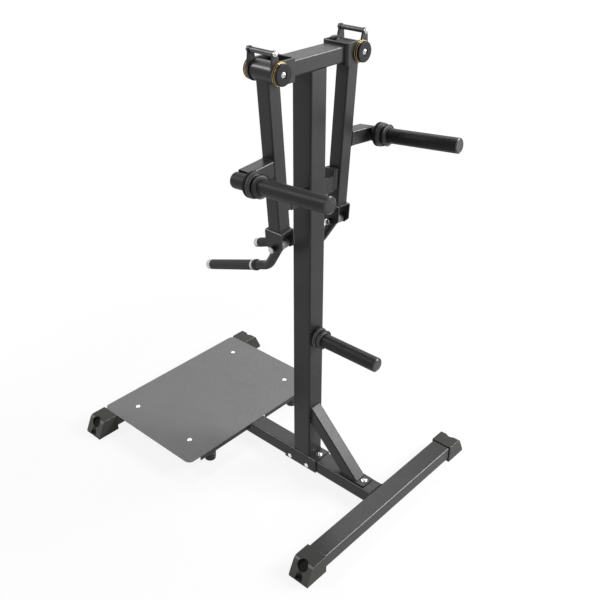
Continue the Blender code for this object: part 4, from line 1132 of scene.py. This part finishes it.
def pivot_cover():
    """A round-edged cap, sunk in the middle for its screw."""
    recess = AXLE_SCREW_HEAD + SIDE_PLAY
    hole = AXLE_SCREW_SHANK + GAP
    profile = [
        (hole, CAP_INNER_Y), (AXLE_CAP_RADIUS, CAP_INNER_Y, 0.0008), (AXLE_CAP_RADIUS, CAP_OUTER_Y, 0.0032),
        (recess + 0.0006, CAP_OUTER_Y, 0.0008), (recess, CAP_SEAT_Y, 0.0006), (hole, CAP_SEAT_Y)]
    return turned(eased(profile, steps=7), FINE_SIDES, ring=True)


def build_pivot(host):
    back = CROSSBAR_REACH + GAP
    depth = PIVOT_REACH - back
    strip = prism(
        channel_outline(BRACKET_INSIDE, BRACKET_PLATE, BRACKET_BEND, depth + 2 * EAR_RADIUS),
        -2 * EAR_RADIUS, STOP_ROD_UP + EAR_RADIUS)
    silhouette = prism(ear_outline(-2 * depth), -2 * BRACKET_HALF, 2 * BRACKET_HALF)
    bracket = carve(strip, ("INTERSECT", silhouette, move(depth) @ STAND_XZ))
    place = ROOT @ move(back, 0, PIVOT_HEIGHT)
    host.add("pivot_bracket", ease_edges(bracket, BRACKET_EDGE), place, "tube", "end_bracket")

    rod_place = AXLE_PLACE @ move(STOP_ROD_OUT, 0, STOP_ROD_UP) @ ALONG_Y
    inner = BRACKET_INSIDE / 2 - GAP
    rod = round_bar(0, STOP_ROD_RADIUS, -inner, inner, 0.0008, sides=SMALL_SIDES)
    host.add("stop_sleeve", rod, rod_place, "rod", "stop_rod")
    dome = placed(dome_head(STOP_ROD_HEAD_RADIUS, STOP_ROD_HEAD_HEIGHT), move(z=BRACKET_HALF))
    host.add("stop_bolt_head", dome, rod_place, "chrome")
    nut = placed(hex_nut(STOP_NUT_RADIUS, STOP_ROD_HEAD_HEIGHT), turn(180, "X") @ move(z=BRACKET_HALF))
    host.add("stop_bolt_nut", nut, rod_place, "coat")

    for end, turned_about in (("rear", 0), ("front", 180)):
        place = AXLE_PLACE @ turn(turned_about, "Z") @ ALONG_Y
        host.add(f"pivot_flange_{end}", pivot_flange(), place, "brass", f"pivot_ring_{end}")
        # A dark plastic disc between the two brass flanges, filling the groove between their rims.
        groove_disc = round_bar(RING_BOSS, GROOVE_DISC_RADIUS, BRACKET_HALF + GAP + FLANGE_RIM, RING_OUTER_Y - FLANGE_RIM,
                         sides=FINE_SIDES)
        host.add(f"pivot_seal_{end}", groove_disc, place, "plastic")
        host.add(f"pivot_cover_{end}", pivot_cover(), place, "plastic", f"pivot_cap_{end}")
    screws = twin(placed(socket_head(*AXLE_SCREW), move(z=CAP_SEAT_Y)), "X")
    axle = round_bar(0, AXLE_RADIUS, -RING_OUTER_Y, RING_OUTER_Y)
    host.add("pivot_pin", merged(screws, axle), AXLE_PLACE @ ALONG_Y, "chrome", "pivot_axle")


# Swing arms

def build_arm(host):
    half = ARM_SIDE / 2
    tube = prism(rounded_rectangle(ARM_SIDE, ARM_SIDE, ARM_ROUND), -ARM_LENGTH, 0)
    bore = AXLE_RADIUS + BUSH_WALL + 2 * GAP
    arm = carve(
        tube,
        ("UNION", round_bar(0, HUB_RADIUS, -HUB_HALF, HUB_HALF, sides=FINE_SIDES), ALONG_Y),
        ("DIFFERENCE", round_bar(0, bore, -2 * HUB_HALF, 2 * HUB_HALF), ALONG_Y))
    host.add("arm_tube", ease_edges(arm, PLATE_EDGE, 2, 60), ARM_PLACE, "tube", "swing_arm")
    seam = round_seam(HUB_RADIUS, half, -90, math.degrees(math.asin(half / HUB_RADIUS)), 12)
    host.weld("hub_weld", [(u, -z, v) for u, v, z in seam], ARM_PLACE)


def build_horn(host):
    start = ARM_SIDE / 2 + GAP
    place = move(z=-HORN_TUBE_DROP) @ ALONG_X
    outline = rounded_rectangle(ARM_SIDE, ARM_SIDE, ARM_ROUND)
    room = ARM_SIDE - 2 * TUBE_WALL
    hollow = rounded_rectangle(room, room, ARM_ROUND - TUBE_WALL)
    tube = placed(prism(outline, start, HORN_TUBE_END, hollow), place)
    cutter = round_bar(0, HORN_RADIUS + GAP, -HORN_REACH, HORN_REACH, sides=FINE_SIDES)
    bracket = carve(tube, ("DIFFERENCE", cutter, ARM_PLACE.inverted() @ HORN_PLACE))
    host.add("horn_tube", bracket, ARM_PLACE, "tube", "horn_bracket")
    collar = (COLLAR_RADIUS, COLLAR_START, COLLAR_LENGTH)
    add_horn(host, "plate", HORN_PLACE, -HORN_TAIL, HORN_REACH, HORN_TAIL_ROUND, collar,
             ("weight_horn", "horn_collar"))
    host.weld("horn_tube_weld", seam_loop(ARM_SIDE, ARM_SIDE, ARM_ROUND, start), ARM_PLACE @ place)
    cope = math.degrees(math.asin((ARM_SIDE / 2 - ARM_ROUND) / HORN_RADIUS))
    seam = round_seam(HORN_RADIUS + GAP, ARM_SIDE / 2 - 0.001, 180, cope, 10)
    host.weld("horn_cope_weld", seam, HORN_PLACE)


def build_yoke(host):
    top = -ARM_LENGTH - GAP
    low = top - YOKE_HEIGHT
    half = YOKE_DEPTH / 2
    channel = channel_outline(YOKE_INSIDE, YOKE_PLATE, YOKE_BEND, 2 * YOKE_HEIGHT)
    strip = prism(channel, -YOKE_DEPTH, YOKE_DEPTH)
    corner = YOKE_CORNER_ROUND
    outline = eased([
        (half - YOKE_CORNER, low, corner), (half, low + YOKE_CORNER, corner), (half, 0.02), (-half, 0.02),
        (-half, low + YOKE_CORNER, corner), (YOKE_CORNER - half, low, corner)], closed=True)
    yoke = carve(
        placed(strip, move(z=top) @ HANG_YZ),
        ("INTERSECT", prism(outline, -2 * YOKE_INSIDE, 2 * YOKE_INSIDE), STAND_YZ))
    host.add("yoke_plate", ease_edges(yoke, YOKE_EDGE), ARM_PLACE, "tube", "handle_yoke")
    host.weld("yoke_weld", seam_loop(ARM_SIDE, ARM_SIDE, ARM_ROUND, -ARM_LENGTH), ARM_PLACE)
    cheek = YOKE_INSIDE / 2 + YOKE_PLATE + GAP
    end = cheek + PIN_SPACER_LENGTH
    place = HANDLE_PLACE @ ALONG_X
    spacer = round_bar(0, PIN_SPACER_RADIUS, cheek, end, 0.0006, 0.0012, sides=SMALL_SIDES)
    host.add("pin_spacers", twin(spacer, "X"), place, "coat")
    flat = washer(PIN_RADIUS, PIN_SPACER_RADIUS + 0.0006, end, PIN_WASHER_THICKNESS)
    head = placed(dome_head(PIN_HEAD_RADIUS, PIN_HEAD_HEIGHT), move(z=end + 0.0012))
    pin = round_bar(0, PIN_RADIUS, -cheek, cheek, sides=SMALL_SIDES)
    host.add("pin_bolt", merged(twin(merged(flat, head), "X"), pin), place, "chrome", "handle_pin")


# Handles

def on_bar(distance):
    """The point (y, z) at a distance from the bend's corner, along the bar with the grip."""
    leg = math.radians(LEG_DROP_DEG)
    bar = math.radians(BAR_DROP_DEG)
    y = -LEG_LENGTH * math.cos(leg) - distance * math.cos(bar)
    z = -LEG_LENGTH * math.sin(leg) - distance * math.sin(bar)
    return y, z


def build_handle(host):
    half = YOKE_INSIDE / 2 - GAP
    bar_end = BAR_LENGTH - GRIP_END_LENGTH - GAP
    path = eased([(0, 0), (*on_bar(0), BEND_RADIUS), on_bar(bar_end)], steps=BEND_STEPS)
    notch = round_bar(0, SLEEVE_RADIUS - 0.001, -YOKE_INSIDE, YOKE_INSIDE)
    bar = carve(swept_bar(path, BAR_RADIUS), ("DIFFERENCE", notch, ALONG_X))
    host.add("bent_bar", bar, HANDLE_PLACE, "coat", "handle_bar")
    sleeve = round_bar(PIN_RADIUS + GAP, SLEEVE_RADIUS, -half, half, 0.001)
    host.add("pivot_sleeve", sleeve, HANDLE_PLACE @ ALONG_X, "sleeve")
    seam = [(x, y, math.sqrt(SLEEVE_RADIUS ** 2 - y ** 2)) for x, y in circle(BAR_RADIUS, 24)]
    host.weld("sleeve_weld", seam, HANDLE_PLACE @ turn(90 + LEG_DROP_DEG, "X"), radius=SLEEVE_WELD_RADIUS)

    bore = BAR_RADIUS + GAP
    ring_start = BAR_COLLAR_AT + BAR_COLLAR_LENGTH + GAP
    grip_start = ring_start + GRIP_RING_LENGTH + GAP
    grip_length = bar_end - grip_start
    parts = (
        ("bar_collar", BAR_COLLAR_AT, "coat", None,
         (BAR_RADIUS - 0.001, BAR_COLLAR_RADIUS, 0, BAR_COLLAR_LENGTH, 0.0050, 0.0040, 7)),
        ("plated_ring", ring_start, "chrome", "grip_ring",
         (bore, GRIP_RING_RADIUS, 0, GRIP_RING_LENGTH, 0.0018)),
        ("rubber_grip", grip_start, "grip", "hand_grip", (bore, GRIP_RADIUS, 0, grip_length, 0.0012)),
        ("plated_end", BAR_LENGTH, "chrome", "grip_end",
         (0, GRIP_RADIUS, -GRIP_END_LENGTH, 0, 0.0008, GRIP_END_ROUND, 8)))
    for name, distance, finish, node, sizes in parts:
        place = HANDLE_PLACE @ move(0, *on_bar(distance)) @ turn(90 + BAR_DROP_DEG, "X")
        host.add(name, round_bar(*sizes), place, finish, node)


# Rests

def build_rest(host):
    pad_outer = -ARM_SIDE / 2 - GAP
    pad_inner = pad_outer - REST_PAD_THICKNESS
    flange_outer = pad_inner - GAP
    flange_inner = flange_outer - REST_PLATE
    top = REST_HEIGHT + REST_FLANGE_RISE - PIVOT_HEIGHT
    low = top - REST_FLANGE_HEIGHT
    start = COLUMN_WIDTH / 2 + GAP
    wing_low = REST_HEIGHT - REST_WING_HEIGHT
    wing_tip = PIVOT_REACH + flange_outer - math.tan(math.radians(ARM_LEAN_DEG)) * (PIVOT_HEIGHT - wing_low)
    wing = [(start, wing_low), (wing_tip, wing_low), (wing_tip, REST_HEIGHT), (start, REST_HEIGHT)]
    wing_half = REST_PLATE / 2
    wing_y = REST_FLANGE_Y + REST_FLANGE_WIDTH / 2 - REST_EDGE_ROUND - wing_half
    solid = placed(prism(wing, -wing_half, wing_half), move(y=wing_y) @ STAND_XZ)
    flange = prism(rounded_rectangle(REST_PLATE, REST_FLANGE_WIDTH, REST_EDGE_ROUND, 3), low, top)
    lean = ROOT.inverted() @ ARM_PLACE
    bracket = carve(solid, ("UNION", flange, lean @ move((flange_inner + flange_outer) / 2, REST_FLANGE_Y)))
    host.add("rest_wing", ease_edges(bracket, PLATE_EDGE, 2), ROOT, "tube", "rest_bracket")
    pad = prism(rounded_rectangle(REST_PAD_THICKNESS, REST_FLANGE_WIDTH, REST_PAD_ROUND), low, top)
    host.add("rest_pad", ease_edges(pad, REST_PAD_EDGE),
             ARM_PLACE @ move((pad_inner + pad_outer) / 2, REST_FLANGE_Y), "bumper", "rest_bumper")
    for face, y in (("front", wing_y - wing_half), ("rear", wing_y + wing_half)):
        line = [(start, y, wing_low + REST_WELD_INSET), (start, y, REST_HEIGHT - REST_WELD_INSET)]
        host.weld(f"rest_weld_{face}", line, ROOT, closed=False)


# Platform

def pad_foot():
    """A rubber foot with a waist and two grip grooves."""
    height = BASE_TOP - RAIL_HEIGHT - GAP
    wide = PAD_FOOT_RADIUS
    narrow = PAD_FOOT_BASE_RADIUS
    profile = [
        (0, 0), (narrow, 0, 0.002), (narrow + 0.0005, 0.012, 0.0005), (narrow - 0.0008, 0.013, 0.0004),
        (narrow + 0.0008, 0.014, 0.0005), (wide - 0.0004, 0.030, 0.0005), (wide - 0.0018, 0.031, 0.0004),
        (wide - 0.0004, 0.032, 0.0005), (wide, height, 0.0022), (0, height)]
    return turned(eased(profile, steps=4))


def stud_spots():
    """Staggered rows over the whole tread that leave room for its corners and bolts."""
    spots = []
    rows = int((PLATE_REAR - PLATE_FRONT - 2 * STUD_MARGIN) / STUD_PITCH)
    for row in range(rows + 1):
        y = PLATE_FRONT + STUD_MARGIN + row * STUD_PITCH
        stagger = STUD_PITCH / 2 if row % 2 else 0.0
        columns = int((2 * (PLATE_HALF_WIDTH - STUD_MARGIN) - stagger) / STUD_PITCH)
        for column in range(columns + 1):
            x = -PLATE_HALF_WIDTH + STUD_MARGIN + stagger + column * STUD_PITCH
            corner_x = max(0.0, abs(x) - (PLATE_HALF_WIDTH - PLATE_CORNER))
            corner_y = max(0.0, PLATE_FRONT + PLATE_CORNER - y, y - (PLATE_REAR - PLATE_CORNER))
            in_corner = math.hypot(corner_x, corner_y) > PLATE_CORNER - STUD_MARGIN / 2
            reaches = [math.hypot(abs(x) - PLATE_BOLT_X, y - bolt_y) for bolt_y in PLATE_BOLT_PLACES]
            if not in_corner and min(reaches) >= STUD_BOLT_ROOM:
                spots.append((x, y, PLATE_TOP))
    return spots


def tread_stud():
    """A low lozenge that narrows to its top."""
    stud = bmesh.new()
    rings = []
    for long, short, z in ((0.0028, 0.0014, -0.0001), (0.0012, 0.0006, 0.0005)):
        corners = ((long, 0), (0, short), (-long, 0), (0, -short))
        rings.append([stud.verts.new((x, y, z)) for x, y in corners])
    join_rings(stud, *rings)
    for ring in reversed(rings):
        stud.faces.new(ring)
    return outward(stud)


def build_platform():
    low = BASE_TOP + GAP
    half = PLATE_THICKNESS / 2
    lip_low = low - LIP_HEIGHT
    lip_outline = [(LIP_START, lip_low), (LIP_REACH, lip_low), (LIP_REACH, low), (LIP_START, low)]
    outline = rounded_rectangle(2 * PLATE_HALF_WIDTH, PLATE_REAR - PLATE_FRONT, PLATE_CORNER, 12)
    plate = placed(prism(outline, low, PLATE_TOP), move(y=(PLATE_REAR + PLATE_FRONT) / 2))
    MIDDLE.add("tread_plate", ease_edges(plate, SHEET_EDGE, 2), ROOT, "tread", "platform_plate")
    for host in FRAME_SIDES:
        lip = ease_edges(prism(lip_outline, -half, half), SHEET_EDGE, 2)
        place = ROOT @ move(y=PLATE_REAR - half) @ STAND_XZ
        host.add("tread_lip", lip, place, "coat", "platform_plate")
    MIDDLE.set_out("tread_studs", stud_spots(), tread_stud(), "tread")
    spots = [(side * PLATE_BOLT_X, y, PLATE_TOP) for _, side in SIDES for y in PLATE_BOLT_PLACES]
    MIDDLE.set_out("platform_bolts", spots, dome_head(PLATE_BOLT_RADIUS, PLATE_BOLT_HEIGHT, 0.2), "bright")
    rear = PLATE_REAR - PLATE_THICKNESS - RAIL_LIP_CLEARANCE
    place = ROOT @ move(RAIL_X, 0, BASE_TOP - RAIL_HEIGHT / 2) @ ALONG_Y
    for host in FRAME_SIDES:
        rail = box_tube(RAIL_WIDTH, RAIL_HEIGHT, RAIL_ROUND, BEAM_FRONT, rear, RAIL_WALL)
        host.add("platform_bearer", rail, place, "coat", "platform_rail")
        host.add("pad_foot", pad_foot(), ROOT @ move(PAD_FOOT_X, PAD_FOOT_Y), "rubber", "platform_foot")


# Studio: pale floor, soft lights and the camera

CAMERA_AZIMUTH_DEG = 132.02
CAMERA_ELEVATION_DEG = 29.94
CAMERA_DISTANCE = 2.87015
CAMERA_RIGHT = -0.02877
CAMERA_UP = 0.02074
CAMERA_LENS = 49.82
CAMERA_SENSOR = 36.0
MACHINE_MIDDLE = Vector((0, SHIFT_Y, 0.700))
FLOOR_GRAY = 0.90
FLOOR_REACH = 14.0
FLOOR_GLOW = 1.02
FLOOR_GLOW_NEAR = 0.86
FLOOR_FADE = (0.9, 2.0)
WORLD_LIGHT = 0.12
WHITE = (1, 1, 1, 1)

# Each soft light: name, direction from the machine's middle, distance, width, height, power
LIGHTS = (
    ("rear_key", (-0.620, 0.600, 0.500), 4.2, 2.4, 1.8, 225),
    ("front_rim", (0.499, -0.580, 0.644), 4.4, 1.0, 0.5, 48),
    ("front_key", (-0.540, -0.460, 0.700), 8.0, 3.0, 2.2, 120),
    ("horizon", (-0.720, 0.690, 0.060), 3.2, 1.0, 1.0, 7),
)


def set_up(item, location, rotation):
    item.location = location
    item.rotation_mode = "QUATERNION"
    item.rotation_quaternion = rotation


def build_camera():
    azimuth = math.radians(CAMERA_AZIMUTH_DEG)
    elevation = math.radians(CAMERA_ELEVATION_DEG)
    level = math.cos(elevation)
    back = Vector((math.sin(azimuth) * level, -math.cos(azimuth) * level, math.sin(elevation)))
    rightward = (-back).cross(Vector((0, 0, 1))).normalized()
    upward = rightward.cross(-back)
    data = bpy.data.cameras.new("photo_camera")
    data.lens = CAMERA_LENS
    data.sensor_width = CAMERA_SENSOR
    camera = linked("photo_camera", data)
    location = MACHINE_MIDDLE + back * CAMERA_DISTANCE + rightward * CAMERA_RIGHT + upward * CAMERA_UP
    set_up(camera, location, Matrix((rightward, upward, back)).transposed().to_quaternion())
    bpy.context.scene.camera = camera


def add_light(name, direction, distance, width, height, power):
    data = bpy.data.lights.new(name, "AREA")
    data.shape = "RECTANGLE"
    data.size = width
    data.size_y = height
    data.energy = power
    location = MACHINE_MIDDLE + Vector(direction).normalized() * distance
    set_up(linked(name, data), location, (MACHINE_MIDDLE - location).to_track_quat("-Z", "Y"))


def show_white(sheet):
    """1 for the rays that see the background, as such or in a reflection."""
    rays = sheet.node("ShaderNodeLightPath")
    seen = rays.other("Is Camera Ray").most(rays.other("Is Glossy Ray"))
    return seen.most(rays.other("Is Transmission Ray"))


def build_world():
    world = bpy.data.worlds.new("studio_world")
    world.use_nodes = True
    bpy.context.scene.world = world
    world.node_tree.nodes.clear()
    sheet = Sheet(world.node_tree)
    soft = sheet.node("ShaderNodeBackground", {"Color": WHITE, "Strength": WORLD_LIGHT})
    white = sheet.node("ShaderNodeBackground", {"Color": WHITE, "Strength": 1.0})
    blend = sheet.node("ShaderNodeMixShader", {0: show_white(sheet), 1: soft, 2: white})
    sheet.node("ShaderNodeOutputWorld", {"Surface": blend})


def build_floor():
    floor_mesh = bmesh.new()
    bmesh.ops.create_grid(floor_mesh, x_segments=1, y_segments=1, size=FLOOR_REACH)
    floor = mesh_object("studio_floor", floor_mesh)
    paint = Finish("pale_floor", "", [FLOOR_GRAY] * 3, 0.9, specular=0.0)
    glow = paint.node("ShaderNodeEmission", {"Color": WHITE, "Strength": FLOOR_GLOW})
    apart = paint.node("ShaderNodeVectorMath", {0: paint.place}, output="Value", operation="LENGTH")
    rise = FLOOR_GLOW_NEAR + (1 - FLOOR_GLOW_NEAR) * apart.step(*FLOOR_FADE)
    matte = Wire(paint, paint.shader.outputs[0])
    surface = paint.node("ShaderNodeMixShader", {0: show_white(paint) * rise, 1: matte, 2: glow})
    paint.feed(paint.tree.nodes["Material Output"].inputs["Surface"], surface)
    floor.data.materials.append(paint.material)


def build_machine():
    build_base()
    build_end_caps()
    build_column()
    build_saddle()
    build_brace()
    build_storage_peg()
    build_platform()
    for frame_side, (label, side) in zip(FRAME_SIDES, SIDES):
        arm = Host(f"{label}_arm", label, side)
        build_pivot(frame_side)
        build_arm(arm)
        build_horn(arm)
        build_yoke(arm)
        build_handle(Host(f"{label}_handle", label, side))
        build_rest(frame_side)
        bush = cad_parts[f"pivot_bush_{label}"]
        bush.data.materials.clear()
        bush.data.materials.append(FINISHES["bronze"].material)


build_camera()
build_machine()
build_world()
build_floor()
for light in LIGHTS:
    add_light(*light)
bpy.context.scene.view_settings.view_transform = "Standard"
